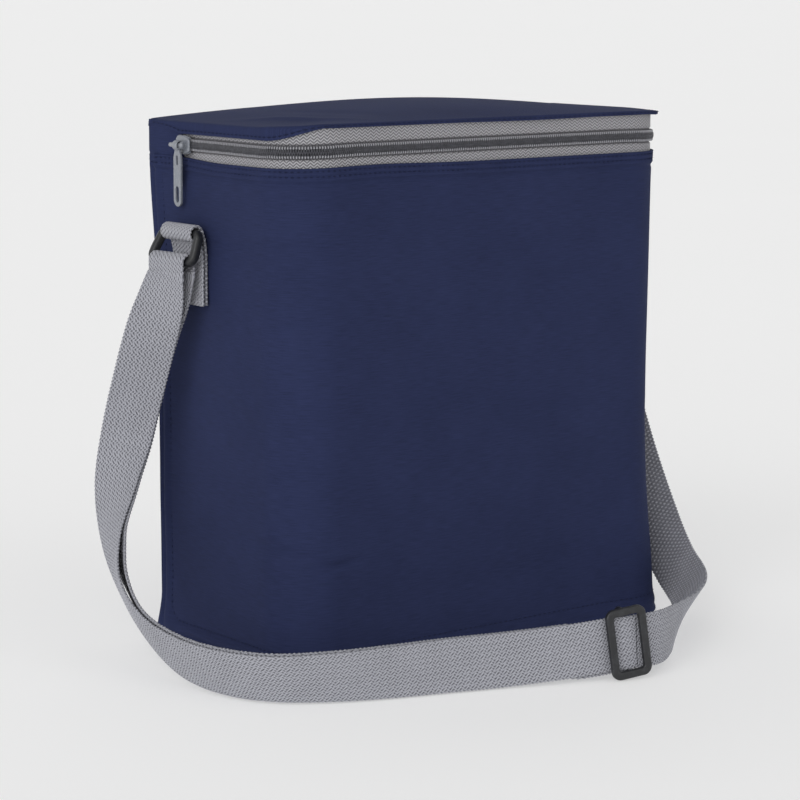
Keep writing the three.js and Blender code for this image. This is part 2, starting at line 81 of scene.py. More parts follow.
HALF_W, HALF_D = 115.0, 57.5
FRONT_R, BACK_R = 26.0, 3.5
TAB_Y = 22.0
TAB_AXIS = (121.3, 200.0)              # out from the middle, height
RING_TILT = math.radians(24)
RING_W, RING_H, RING_BAR, RING_T = 33.4, 18.0, 3.8, 3.4
STRAP_BAR = (
    TAB_AXIS[0] + (RING_H - RING_BAR) * math.sin(RING_TILT),
    TAB_AXIS[1] - (RING_H - RING_BAR) * math.cos(RING_TILT),
)
LOOP_R = 3.35
WEB_W, WEB_T = 25.0, 1.4
FOLD_Y = 33.5
SLIDER_Y, SLIDER_Z, PIN_OUT = 27.0, 239.8, 119.7
GLIDE_STATION = 17.4
ROUTE = [
    ((-130.5, 22, 181), (-0.02, 1, 0)),
    ((-132, 24, 170), (-0.3, 0.93, 0.15)),
    ((-134, 27, 156), (-0.6, 0.76, 0.25)),
    ((-136, 33, 134), (-0.74, 0.62, 0.27)),
    ((-140, 39, 108), (-0.66, 0.72, 0.22)),
    ((-148, 38, 83), (-0.36, 0.92, -0.1)),
    ((-155, 31, 58), (0.14, 0.87, -0.46)),
    ((-159, 16, 37), (0.48, 0.6, -0.63)),
    ((-160, -7, 21.5), (0.5, 0.35, -0.78)),
    ((-160, -32, 14.5), (0.4, 0.2, -0.9)),
    ((-156, -58, 12.6), (0.36, 0.17, -0.92)),
    ((-144, -81, 12.4), (0.3, 0.25, -0.92)),
    ((-121, -96, 12.6), (0.16, 0.24, -0.96)),
    ((-96, -105, 12.8), (0.06, 0.14, -0.99)),
    ((-70, -112, 13), (0.02, 0.02, -1)),
    ((-44, -120, 13.2), (0.02, -0.06, -1)),
    ((-18, -130, 14.6), (0.02, -0.06, -1)),
    ((6, -138, 16.4), (0.03, -0.06, -1)),
    ((28, -142, 16.8), (0, -0.05, -1)),
    ((52, -129, 15.4), (-0.1, 0.1, -0.99)),
    ((80, -107, 14.4), (-0.34, 0.36, -0.86)),
    ((103, -87, 14), (-0.4, 0.42, -0.8)),
    ((120, -67, 15.6), (-0.44, 0.5, -0.74)),
    ((129, -50, 22), (-0.46, 0.58, -0.67)),
    ((133, -34, 38), (-0.62, 0.6, -0.48)),
    ((134, -20, 60), (-0.75, 0.55, -0.34)),
    ((134, -8, 84), (-0.74, 0.62, -0.24)),
    ((134, 3, 110), (-0.6, 0.76, -0.2)),
    ((133, 12, 138), (-0.38, 0.9, -0.18)),
    ((131.5, 19, 164), (-0.12, 0.98, -0.1)),
    ((130.5, 22, 181), (0, 1, 0)),
]


# ---------------------------------------------------------------- meshes

def smoothstep(low, high, x):
    t = np.clip((np.asarray(x, float) - low) / (high - low), 0, 1)
    return t * t * (3 - 2 * t)


def bell(x, middle, width):
    return np.exp(-((np.asarray(x, float) - middle) / width) ** 2)


def clean_up(mesh, merge=False, dissolve=False, recalculate=False):
    """Joins points that coincide, drops faces without area, turns all faces outward."""
    work = bmesh.new()
    work.from_mesh(mesh)
    if merge:
        bmesh.ops.remove_doubles(work, verts=work.verts, dist=2e-6)
    if dissolve:
        bmesh.ops.dissolve_degenerate(work, edges=work.edges, dist=1e-7)
    if recalculate:
        bmesh.ops.recalc_face_normals(work, faces=work.faces)
    work.to_mesh(mesh)
    work.free()


def link_piece(name, mesh, material):
    mesh.materials.append(material)
    piece = bpy.data.objects.new(name, mesh)
    bpy.context.scene.collection.objects.link(piece)
    return piece


class Pile:
    """Vertices, faces and cloth coordinates gathered into one mesh."""

    def __init__(self):
        self.verts, self.lay, self.quads, self.tris, self.count = [], [], [], [], 0

    def add(self, verts, quads=None, tris=None, lay=None):
        verts = np.asarray(verts, float).reshape(-1, 3)
        lay = verts if lay is None else np.asarray(lay, float).reshape(-1, 3)
        self.verts.append(verts)
        self.lay.append(lay)
        if quads is not None and len(quads):
            self.quads.append(np.asarray(quads, int).reshape(-1, 4) + self.count)
        if tris is not None and len(tris):
            self.tris.append(np.asarray(tris, int).reshape(-1, 3) + self.count)
        self.count += len(verts)

    def build(self, name, material, smooth_angle=40.0, merge=False):
        verts = np.concatenate(self.verts) * MM
        lay = np.concatenate(self.lay)
        quads = np.concatenate(self.quads) if self.quads else np.zeros((0, 4), int)
        tris = np.concatenate(self.tris) if self.tris else np.zeros((0, 3), int)
        mesh = bpy.data.meshes.new(name)
        mesh.vertices.add(len(verts))
        mesh.vertices.foreach_set("co", verts.astype(np.float32).ravel())
        mesh.loops.add(4 * len(quads) + 3 * len(tris))
        mesh.loops.foreach_set("vertex_index", np.concatenate([quads.ravel(), tris.ravel()]))
        mesh.polygons.add(len(quads) + len(tris))
        starts = np.concatenate([
            np.arange(len(quads)) * 4, 4 * len(quads) + np.arange(len(tris)) * 3,
        ])
        mesh.polygons.foreach_set("loop_start", starts)
        attribute = mesh.attributes.new("lay", "FLOAT_VECTOR", "POINT")
        attribute.data.foreach_set("vector", lay.astype(np.float32).ravel())
        mesh.update(calc_edges=True)
        mesh.validate()
        if merge:
            clean_up(mesh, merge=True, dissolve=True)
        mesh.shade_smooth()
        mesh.set_sharp_from_angle(angle=math.radians(smooth_angle))
        return link_piece(name, mesh, material)


def grid_quads(rows, cols, wrap_rows=False, wrap_cols=False):
    r = np.arange(rows if wrap_rows else rows - 1)
    c = np.arange(cols if wrap_cols else cols - 1)
    r, c = np.meshgrid(r, c, indexing="ij")
    r2, c2 = (r + 1) % rows, (c + 1) % cols
    corners = [r * cols + c, r * cols + c2, r2 * cols + c2, r2 * cols + c]
    return np.stack(corners, -1).reshape(-1, 4)


def thick_sheet(pile, outer, inner, lay, lift=(0, 0, 0.25), closed=False):
    """A sheet with rounded top and bottom edges from matching outer and inner grids."""
    lift = np.asarray(lift, float)
    top = (outer[-1] + inner[-1]) / 2 + lift
    bottom = (outer[0] + inner[0]) / 2 - lift
    loop = np.concatenate([outer, top[None], inner[::-1], bottom[None]])
    lays = np.concatenate([lay, lay[-1:], lay[::-1], lay[:1]])
    rows, cols = loop.shape[:2]
    quads = [grid_quads(rows, cols, wrap_rows=True, wrap_cols=closed)]
    if not closed:
        half = outer.shape[0]
        for end, flip in ((0, False), (cols - 1, True)):
            i = np.arange(half - 1)
            a, b = i * cols + end, (i + 1) * cols + end
            c, d = (2 * half - 1 - i) * cols + end, (2 * half - i) * cols + end
            cap = np.stack([a, b, c, d], -1)
            quads.append(cap[:, ::-1] if flip else cap)
    pile.add(loop, np.concatenate(quads), lay=lays)


def sheet_piece(name, material, outer, inner, lay, smooth_angle, lift=(0, 0, 0.25), flip=False):
    """One thick sheet as a piece. flip is for grids that run the other way round."""
    pile = Pile()
    if flip:
        outer, inner, lay = outer[:, ::-1], inner[:, ::-1], lay[:, ::-1]
    thick_sheet(pile, outer, inner, lay, lift=lift)
    return pile.build(name, material, smooth_angle)


def lay_grid(u, v):
    """Cloth coordinates of a grid."""
    return np.stack(np.broadcast_arrays(u, v, 0 * v), -1)


def level(nx, ny):
    """Level directions, from their x and y."""
    return np.stack([nx, ny, 0 * nx], -1)


def tube(pile, path, radius, sides=6, closed=False, flat=1.0, side=None, lay=None):
    """A round or flattened cord along a path. side is the direction across its flat."""
    path = np.asarray(path, float)
    if closed:
        along = np.roll(path, -1, 0) - np.roll(path, 1, 0)
    else:
        along = np.gradient(path, axis=0)
    along /= np.linalg.norm(along, axis=1, keepdims=True) + 1e-12
    guide = np.asarray((0.0, 0.0, 1.0) if side is None else side, float)
    guide = np.broadcast_to(guide, path.shape)
    u = guide - (guide * along).sum(1, keepdims=True) * along
    u /= np.linalg.norm(u, axis=1, keepdims=True) + 1e-12
    v = np.cross(along, u)
    turn = np.arange(sides) / sides * 2 * math.pi
    radius = np.broadcast_to(np.asarray(radius, float), (len(path),))[:, None, None]
    ring = (
        u[:, None] * np.cos(turn)[None, :, None] + flat * v[:, None] * np.sin(turn)[None, :, None]
    )
    verts = path[:, None] + ring * radius
    quads = grid_quads(len(path), sides, wrap_rows=closed, wrap_cols=True)[:, ::-1]
    tris = []
    if not closed:
        last = (len(path) - 1) * sides
        for k in range(1, sides - 1):
            tris += [(0, k, k + 1), (last, last + k + 1, last + k)]
    pile.add(verts, quads, tris, lay)


def sweep(pile, centre, u, n, profile, lay=None, closed=False):
    """A closed profile of (along u, along n) points carried along a line of centres."""
    profile = np.asarray(profile, float)
    if profile.ndim == 2:
        profile = np.broadcast_to(profile, (len(centre), *profile.shape))
    verts = centre[:, None] + u[:, None] * profile[..., :1] + n[:, None] * profile[..., 1:]
    count = profile.shape[1]
    quads = grid_quads(len(centre), count, wrap_rows=closed, wrap_cols=True)
    tris = []
    if not closed:
        last = (len(centre) - 1) * count
        for k in range(1, count - 1):
            tris += [(0, k + 1, k), (last, last + k, last + k + 1)]
    pile.add(verts, quads, tris, lay)


def extruded(name, outline, holes, thickness, bevel, material, place):
    """A flat plate with rounded edges from an outline in its own plane, placed by a matrix."""
    curve = bpy.data.curves.new(name, "CURVE")
    curve.dimensions = "2D"
    curve.fill_mode = "BOTH"
    curve.extrude = (thickness / 2 - bevel) * MM
    curve.bevel_depth = bevel * MM
    curve.bevel_resolution = 3
    for line in (outline, *holes):
        spline = curve.splines.new("POLY")
        spline.points.add(len(line) - 1)
        for point, (x, y) in zip(spline.points, line):
            point.co = (x * MM, y * MM, 0, 1)
        spline.use_cyclic_u = True
    holder = bpy.data.objects.new(name + "_curve", curve)
    bpy.context.scene.collection.objects.link(holder)
    graph = bpy.context.evaluated_depsgraph_get()
    mesh = bpy.data.meshes.new_from_object(holder.evaluated_get(graph))
    bpy.data.objects.remove(holder)
    bpy.data.curves.remove(curve)
    mesh.transform(place)
    clean_up(mesh, merge=True, recalculate=True)
    attribute = mesh.attributes.new("lay", "FLOAT_VECTOR", "POINT")
    co = np.zeros(len(mesh.vertices) * 3, np.float32)
    mesh.vertices.foreach_get("co", co)
    attribute.data.foreach_set("vector", co / MM)
    mesh.shade_smooth()
    mesh.set_sharp_from_angle(angle=math.radians(35))
    mesh.materials.clear()
    return link_piece(name, mesh, material)


def inset_outline(points, amount):
    """The outline moved in by the bevel, because a curve's bevel grows it."""
    points = np.asarray(points, float)
    before, after = np.roll(points, 1, 0), np.roll(points, -1, 0)
    along = after - before
    along /= np.linalg.norm(along, axis=1, keepdims=True) + 1e-12
    normal = np.stack([-along[:, 1], along[:, 0]], -1)
    return points + normal * amount


def rounded_rectangle(width, height, radius, steps=6):
    points = []
    for sx, sy, start in ((1, 1, 0), (-1, 1, 90), (-1, -1, 180), (1, -1, 270)):
        for k in range(steps + 1):
            angle = math.radians(start + 90 * k / steps)
            points.append((
                sx * (width / 2 - radius) + radius * math.cos(angle),
                sy * (height / 2 - radius) + radius * math.sin(angle),
            ))
    return np.array(points)


def matrix(x_axis, y_axis, z_axis, origin):
    """Places a flat piece: its own axes and origin in the frame, origin in millimetres."""
    m = Matrix.Identity(4)
    for r in range(3):
        m[r] = (x_axis[r], y_axis[r], z_axis[r], origin[r] * MM)
    return m


# ---------------------------------------------------------------- materials

def linear(r, g, b):
    def one(v):
        v /= 255
        return v / 12.92 if v <= 0.04045 else ((v + 0.055) / 1.055) ** 2.4
    return (one(r), one(g), one(b), 1)


class Shader:
    """A small helper to write node materials as expressions."""

    def __init__(self, name, **values):
        self.material = bpy.data.materials.new(name)
        self.material.use_nodes = True
        self.tree = self.material.node_tree
        self.surface = self.tree.nodes["Principled BSDF"]
        for socket, value in values.items():
            self.surface.inputs[socket.replace("_", " ")].default_value = value
        source = self.tree.nodes.new("ShaderNodeAttribute")
        source.attribute_name = "lay"
        self.lay = source.outputs["Vector"]
        split = self.tree.nodes.new("ShaderNodeSeparateXYZ")
        self.tree.links.new(self.lay, split.inputs[0])
        self.u, self.v, self.w = split.outputs

    def feed(self, socket, value):
        if isinstance(value, bpy.types.NodeSocket):
            self.tree.links.new(value, socket)
        else:
            socket.default_value = value

    def math(self, operation, *values):
        node = self.tree.nodes.new("ShaderNodeMath")
        node.operation = operation
        for socket, value in zip(node.inputs, values):
            self.feed(socket, value)
        return node.outputs[0]

    def wave(self, value, pitch, shift=0.0):
        """0 to 1 and back once in every pitch."""
        turned = self.math("MULTIPLY_ADD", value, 2 * math.pi / pitch, shift)
        return self.math("MULTIPLY_ADD", self.math("SINE", turned), 0.5, 0.5)

    def noise(self, scale, detail=2.0, roughness=0.5, vector=None):
        node = self.tree.nodes.new("ShaderNodeTexNoise")
        self.feed(node.inputs["Vector"], self.lay if vector is None else vector)
        node.inputs["Scale"].default_value = scale
        node.inputs["Detail"].default_value = detail
        node.inputs["Roughness"].default_value = roughness
        return node.outputs[0]

    def stretched(self, x, y, z):
        node = self.tree.nodes.new("ShaderNodeMapping")
        self.feed(node.inputs["Vector"], self.lay)
        node.inputs["Scale"].default_value = (x, y, z)
        return node.outputs[0]

    def voronoi(self, scale, vector=None, feature="F1"):
        node = self.tree.nodes.new("ShaderNodeTexVoronoi")
        node.feature = feature
        self.feed(node.inputs["Vector"], self.lay if vector is None else vector)
        node.inputs["Scale"].default_value = scale
        return node.outputs[0]

    def range(self, value, low, high, to_low, to_high):
        node = self.tree.nodes.new("ShaderNodeMapRange")
        self.feed(node.inputs["Value"], value)
        for name, number in (
            ("From Min", low), ("From Max", high), ("To Min", to_low), ("To Max", to_high),
        ):
            node.inputs[name].default_value = number
        return node.outputs[0]

    def mix(self, share, first, second):
        node = self.tree.nodes.new("ShaderNodeMix")
        node.data_type = "RGBA"
        self.feed(node.inputs[0], share)
        self.feed(node.inputs[6], first)
        self.feed(node.inputs[7], second)
        return node.outputs[2]

    def colour(self, value):
        self.feed(self.surface.inputs["Base Color"], value)

    def rough(self, value):
        self.feed(self.surface.inputs["Roughness"], value)

    def bump(self, height, distance_mm, strength=1.0):
        node = self.tree.nodes.new("ShaderNodeBump")
        node.inputs["Strength"].default_value = strength
        node.inputs["Distance"].default_value = distance_mm * MM
        self.feed(node.inputs["Height"], height)
        self.feed(self.surface.inputs["Normal"], node.outputs[0])


def navy_fabric():
    """Fine plain-weave polyester: soft mottling, crossing yarns and a slight sheen."""
    s = Shader("navy_fabric", Roughness=0.85, Sheen_Weight=0.02, Sheen_Roughness=0.5,
               Sheen_Tint=linear(120, 135, 200), Specular_IOR_Level=0.08)
    warp, weft = s.wave(s.u, 0.62), s.wave(s.v, 0.56)
    over = s.math("MULTIPLY", s.math("SUBTRACT", warp, 0.5), s.math("SUBTRACT", weft, 0.5))
    slub = s.noise(1.0, 3, 0.6, s.stretched(0.12, 2.2, 0.12))
    cloud = s.noise(0.03, 3, 0.55)
    shade = s.math("ADD", s.math("MULTIPLY", over, 0.55), s.math("MULTIPLY", slub, 0.5))
    shade = s.math("ADD", shade, s.math("MULTIPLY", cloud, 0.16))
    share = s.range(shade, 0.14, 0.52, 0.0, 1.0)
    s.colour(s.mix(share, linear(30, 36, 62), linear(47, 54, 88)))
    s.rough(s.range(slub, 0.3, 0.7, 0.74, 0.86))
    s.bump(s.math("ADD", over, s.math("MULTIPLY", slub, 0.35)), 0.09, 0.8)
    return s.material


# the webbing's weave: zigzag rows along its face, broken into dashes, and dots on its back
ROW, ZIGZAG, ZIGZAG_SLANT = 1.4, 3.6, 0.72
DASH, DASH_SHIFT, DOT = 1.8, 0.62, 2.2


def webbing():
    """Woven polypropylene: zigzag rows on its face and a coarse dotted weave on its back, with
    painted shade in the weave's hollows.
    """
    s = Shader("webbing", Roughness=0.7, Sheen_Weight=0.12, Sheen_Roughness=0.45,
               Specular_IOR_Level=0.35)
    zig = s.math("PINGPONG", s.v, ZIGZAG / 2)
    valley = s.math("SUBTRACT", 1.0, s.wave(s.math("MULTIPLY_ADD", zig, ZIGZAG_SLANT, s.u), ROW))
    short = s.math("SUBTRACT", 1.0, s.wave(s.math("MULTIPLY_ADD", s.u, DASH_SHIFT, s.v), DASH))
    dashed = s.math("MULTIPLY_ADD", short, 0.8, 0.2)
    face = s.math("SUBTRACT", 1.0, s.math("MULTIPLY", valley, dashed))
    dots = s.math("MULTIPLY", s.wave(s.math("MULTIPLY_ADD", s.u, 0.62, s.v), DOT),
                  s.wave(s.math("MULTIPLY_ADD", s.u, -0.62, s.v), DOT))
    dots = s.math("MULTIPLY_ADD", dots, 0.8, 0.22)
    front = s.math("GREATER_THAN", s.w, 0.5)
    height = s.math("ADD", s.math("MULTIPLY", face, front),
                    s.math("MULTIPLY", dots, s.math("SUBTRACT", 1.0, front)))
    fibre = s.noise(1.0, 2, 0.6, s.stretched(4.5, 1.4, 1))
    cloud = s.noise(0.09, 2, 0.5)
    # painted shade: the weave's height darkens the colour in its hollows, standing in for the
    # shadow there
    tone = s.math("MULTIPLY_ADD", fibre, 0.35, s.math("MULTIPLY_ADD", cloud, 0.25, height))
    share = s.range(tone, 0.3, 1.25, 0.0, 1.0)
    s.colour(s.mix(share, linear(92, 92, 99), linear(166, 167, 175)))
    s.rough(s.range(fibre, 0.3, 0.7, 0.6, 0.78))
    s.bump(s.math("MULTIPLY_ADD", fibre, 0.22, height), 0.5, 0.95)
    return s.material


# the tape's herringbone: columns of slanting ribs
CHEVRON, CHEVRON_SLANT, TAPE_RIB = 1.6, 0.85, 1.45


def zip_tape():
    """Zip tape: a fine herringbone of slanting ribs, with painted shade in the groove beside the
    coil.
    """
    s = Shader("zip_tape", Roughness=0.75, Sheen_Weight=0.04, Sheen_Roughness=0.5,
               Specular_IOR_Level=0.3)
    zig = s.math("PINGPONG", s.v, CHEVRON)
    ribs = s.wave(s.math("MULTIPLY_ADD", zig, CHEVRON_SLANT, s.u), TAPE_RIB)
    fibre = s.noise(1.0, 2, 0.6, s.stretched(1.2, 4.0, 1))
    tone = s.math("MULTIPLY_ADD", fibre, 0.5, s.math("MULTIPLY", ribs, 0.6))
    # painted shade: the tape darkens towards the coil from 3.6 mm out, where the coil's edge shades
    # its groove
    coil_groove_shade = s.range(s.math("ABSOLUTE", s.u), 2.9, 3.6, 0.15, 1.0)
    tone = s.math("MULTIPLY", tone, coil_groove_shade)
    share = s.range(tone, 0.15, 0.95, 0.0, 1.0)
    s.colour(s.mix(share, linear(80, 79, 83), linear(178, 177, 181)))
    s.bump(tone, 0.16, 0.9)
    return s.material


def thread(name, dark, light, pitch=0.8):
    """Twisted sewing thread."""
    s = Shader(name, Roughness=0.75, Specular_IOR_Level=0.12)
    twist = s.wave(s.math("ADD", s.math("ADD", s.u, s.v), s.w), pitch)
    fuzz = s.noise(2.5, 2, 0.6)
    s.colour(s.mix(s.math("MULTIPLY_ADD", fuzz, 0.4, s.math("MULTIPLY", twist, 0.6)),
                   linear(*dark), linear(*light)))
    s.bump(twist, 0.08, 0.7)
    return s.material


def zip_coil():
    """Moulded nylon coil, satin, with a little colour change from loop to loop."""
    s = Shader("zip_coil", Roughness=0.42)
    patch = s.noise(0.8, 2, 0.5)
    s.colour(s.mix(s.range(patch, 0.3, 0.7, 0, 1), linear(42, 42, 48), linear(66, 67, 74)))
    s.rough(s.range(s.noise(3.0), 0.3, 0.7, 0.36, 0.5))
    s.bump(s.noise(5.0, 2), 0.03, 0.5)
    return s.material


def painted_metal():
    """Zip slider: grey enamel on a zinc casting, rubbed a little on its high places."""
    s = Shader("zip_slider", Roughness=0.38, Metallic=0.15, Specular_IOR_Level=0.5,
               Coat_Weight=0.25, Coat_Roughness=0.25)
    peel = s.noise(1.4, 3, 0.6)
    scuffs = s.range(s.noise(0.7, 4, 0.7), 0.52, 0.7, 0, 1)
    s.colour(s.mix(scuffs, linear(126, 130, 138), linear(152, 156, 162)))
    s.rough(s.range(peel, 0.3, 0.7, 0.3, 0.46))
    s.bump(peel, 0.05, 0.6)
    return s.material


def black_plastic():
    """Moulded acetal: satin black with a faint texture and dust-grey scuffs."""
    s = Shader("black_plastic", Roughness=0.42, Specular_IOR_Level=0.5)
    grain = s.noise(2.6, 3, 0.6)
    scuffs = s.range(s.noise(0.35, 5, 0.7), 0.5, 0.75, 0, 1)
    s.colour(s.mix(scuffs, linear(29, 30, 33), linear(50, 52, 56)))
    s.rough(s.range(grain, 0.3, 0.7, 0.36, 0.52))
    s.bump(grain, 0.06, 0.6)
    return s.material


def foil():
    """Aluminised film, crinkled in small flat facets."""
    s = Shader("foil_lining", Roughness=0.4, Metallic=0.7)
    facets = s.voronoi(0.16)
    fine = s.noise(0.35, 4, 0.6)
    tone = s.noise(0.05, 2, 0.5)
    s.colour(s.mix(s.range(tone, 0.3, 0.7, 0, 1), linear(204, 207, 211), linear(232, 233, 235)))
    s.rough(s.range(fine, 0.3, 0.7, 0.34, 0.5))
    s.bump(s.math("MULTIPLY_ADD", fine, 0.7, s.math("MULTIPLY", facets, 0.5)), 0.7, 0.6)
    return s.material


def foam():
    """Closed-cell foam with a fine cell pattern."""
    s = Shader("insulating_foam", Roughness=0.9)
    cells = s.voronoi(1.6)
    s.colour(s.mix(s.range(cells, 0.0, 0.6, 0, 1), linear(236, 236, 232), linear(214, 214, 210)))
    s.bump(cells, 0.2, 0.6)
    return s.material


NAVY = navy_fabric()
WEBBING = webbing()
TAPE = zip_tape()
COIL = zip_coil()
PAINT = painted_metal()
PLASTIC = black_plastic()
FOIL = foil()
FOAM = foam()
# The navy thread is coloured darker than the cloth: painted shade of the dimples the stitches sit
# in.
NAVY_THREAD = thread("navy_thread", (21, 26, 48), (36, 42, 72))
BINDING = thread("zip_binding", (124, 124, 129), (182, 182, 187), 0.5)
GREY_THREAD = thread("grey_thread", (128, 128, 136), (186, 186, 194))


STITCH = 3.1                     # from one stitch to the next


def stitch_row(pile, places, outward, pitch=STITCH, length=2.3, radius=0.24):
    """Real stitches along a line: short rounded threads that dive into the cloth at their ends."""
    places, outward = np.asarray(places, float), np.asarray(outward, float)
    reach = np.concatenate([[0], np.cumsum(np.linalg.norm(np.diff(places, axis=0), axis=1))])
    marks = np.arange(pitch / 2, reach[-1], pitch)
    k = np.linspace(-0.5, 0.5, 5)
    fat = np.array([0.45, 0.9, 1.0, 0.9, 0.45])
    sink = np.array([-0.28, -0.02, 0.06, -0.02, -0.28])
    turn = np.arange(6) / 6 * 2 * math.pi
    at = marks[:, None] + k * length
    pos = np.stack([np.interp(at, reach, places[:, c]) for c in range(3)], -1)
    out = np.stack([np.interp(at, reach, outward[:, c]) for c in range(3)], -1)
    out /= np.linalg.norm(out, axis=-1, keepdims=True)
    along = np.gradient(pos, axis=1)
    along /= np.linalg.norm(along, axis=-1, keepdims=True)
    side = np.cross(along, out)
    pos = pos + out * (sink * (radius / 0.24))[None, :, None]
    r = (fat * radius)[None, :, None, None]
    verts = pos[:, :, None] + r * (
        side[:, :, None] * np.cos(turn)[None, None, :, None]
        + out[:, :, None] * np.sin(turn)[None, None, :, None]
    )
    count = len(marks)
    quads = grid_quads(5, 6, wrap_cols=True)
    tris = [(0, i + 1, i) for i in range(1, 5)] + [(24, 24 + i, 24 + i + 1) for i in range(1, 5)]
    base = np.arange(count)[:, None, None] * 30
    pile.add(verts.reshape(-1, 3), (quads[None] + base).reshape(-1, 4),
             (np.array(tris)[None] + base).reshape(-1, 3))


def finish_piece(piece, body=None, nodes=()):
    """Says which body and CAD nodes a finished piece belongs to."""
    if body:
        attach(piece, body)
    if nodes:
        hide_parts(*nodes)
    return piece


# ---------------------------------------------------------------- the shoulder strap

def catmull_rom(points, station):
    """The centripetal Catmull-Rom curve through the points, at stations counted in points."""
    points = np.asarray(points, float)
    station = np.clip(np.asarray(station, float), 0, len(points) - 1)
    i = np.minimum(station.astype(int), len(points) - 2)
    w = (station - i)[:, None]
    padded = np.concatenate([
        [2 * points[0] - points[1]], points, [2 * points[-1] - points[-2]],
    ])
    p0, p1, p2, p3 = (padded[i + k] for k in range(4))

    def gap(a, b):
        return np.maximum(1e-4, np.linalg.norm(a - b, axis=1, keepdims=True) ** 0.5)
    d0, d1, d2 = gap(p0, p1), gap(p1, p2), gap(p2, p3)
    t1 = ((p1 - p0) / d0 - (p2 - p0) / (d0 + d1) + (p2 - p1) / d1) * d1
    t2 = ((p2 - p1) / d1 - (p3 - p1) / (d1 + d2) + (p3 - p2) / d2) * d1
    return (
        p1 + t1 * w + (-3 * p1 + 3 * p2 - 2 * t1 - t2) * w ** 2
        + (2 * p1 - 2 * p2 + t1 + t2) * w ** 3
    )


CENTRES = [place for place, _ in ROUTE]
EDGES = [edge for _, edge in ROUTE]
FINE = np.linspace(0, len(ROUTE) - 1, 6001)
FINE_PLACES = catmull_rom(CENTRES, FINE)
FINE_LENGTH = np.concatenate([
    [0], np.cumsum(np.linalg.norm(np.diff(FINE_PLACES, axis=0), axis=1)),
])


def strap_frame(length):
    """Middle, across and out of the strap at lengths from the left ring, in millimetres."""
    station = np.interp(length, FINE_LENGTH, FINE)
    middle = catmull_rom(CENTRES, station)
    middle[:, 0] -= 1.4 * smoothstep(1, 3, station) * (1 - smoothstep(7.5, 9.5, station))
    middle[:, 0] -= 3.2 * smoothstep(21.5, 24, station) * (1 - smoothstep(27.5, 29.5, station))
    step = 1e-3
    along = catmull_rom(CENTRES, station + step) - catmull_rom(CENTRES, station - step)
    along /= np.linalg.norm(along, axis=1, keepdims=True)
    across = catmull_rom(EDGES, station)
    across -= (across * along).sum(1, keepdims=True) * along
    across /= np.linalg.norm(across, axis=1, keepdims=True)
    return station, middle, across, np.cross(across, along)


def return_offset(station):
    at_ring = (2 * LOOP_R - 2.1) * (1 - smoothstep(0, 3.2, station))
    slack = 1.5 * smoothstep(5.6, 6.6, station) * (1 - smoothstep(6.9, 8, station))
    return 2.1 + at_ring + slack


def twisted(places, values, are_places=True):
    """The left ring's foot and the strap below it are turned a little, front edge in."""
    height = places[:, 2]
    angle = math.radians(6) * smoothstep(-201, -189, -height) * smoothstep(95, 140, height)
    c, n = np.cos(angle), np.sin(angle)
    middle = np.array([-127.0, TAB_Y, 0.0]) if are_places else np.zeros(3)
    v = values - middle
    return np.stack([c * v[:, 0] - n * v[:, 1], n * v[:, 0] + c * v[:, 1], v[:, 2]], -1) + middle


GLIDE_AT = float(np.interp(GLIDE_STATION, FINE, FINE_LENGTH))
GLIDE_BACK = 3.2                        # the tri-glide's middle, back from GLIDE_AT
RETURN_CUT = 232.0                      # where the returning layer is split in two
ROUTE_LENGTH = float(FINE_LENGTH[-1])
STEP = 0.52                             # between sections of webbing


def weave_height(u, v, face):
    """Height of the weave, 0 to 1, as the webbing's material draws it."""
    def wave(x, pitch):
        return 0.5 + 0.5 * np.sin(2 * math.pi * x / pitch)

    zig = np.abs((v + ZIGZAG / 2) % ZIGZAG - ZIGZAG / 2)
    rows = 1 - wave(u + ZIGZAG_SLANT * zig, ROW)
    dashes = 1 - wave(v + DASH_SHIFT * u, DASH)
    front = 1 - rows * (0.2 + 0.8 * dashes)
    back_dots = wave(v + 0.62 * u, DOT) * wave(v - 0.62 * u, DOT)
    return np.where(face > 0.5, front, back_dots)


def web_profile(length, width=WEB_W, thickness=WEB_T, face=1):
    """Sections across the webbing: woven faces, round selvedges scalloped by the weft."""
    half, deep = width / 2, thickness / 2
    across = np.linspace(-half + 0.7, half - 0.7, 66)
    upper = [(u, deep) for u in across]
    lower = [(u, -deep) for u in across[::-1]]
    right = [(half - 0.3, deep * 0.82), (half, 0.0), (half - 0.3, -deep * 0.82)]
    left = [(-half + 0.3, -deep * 0.82), (-half, 0.0), (-half + 0.3, deep * 0.82)]
    base = np.array(upper + right + lower + left)
    profile = np.broadcast_to(base, (len(length), *base.shape)).copy()
    near_edge = smoothstep(half - 1.2, half, np.abs(base[:, 0]))
    scallop = 0.24 * np.cos(2 * math.pi * length / DASH)
    profile[..., 0] += np.sign(base[:, 0]) * near_edge * scallop[:, None]
    side = np.where(base[:, 1] * face > 0, 1.0, 0.0)
    woven = weave_height(base[None, :, 0], length[:, None], side[None])
    flat = np.abs(base[:, 1]) > 0.1
    profile[..., 1] += np.where(flat, np.sign(base[:, 1]), 0.0) * 0.3 * (woven - 0.75)
    lay = np.stack([
        np.broadcast_to(base[:, 0], profile.shape[:2]),
        np.broadcast_to(length[:, None], profile.shape[:2]),
        np.broadcast_to(side, profile.shape[:2]),
    ], -1)
    return profile, lay


def web(name, middle, across, out, length, face=1):
    pile = Pile()
    profile, lay = web_profile(length, face=face)
    sweep(pile, middle, across, out, profile, lay)
    return pile.build(name, WEBBING, 60)


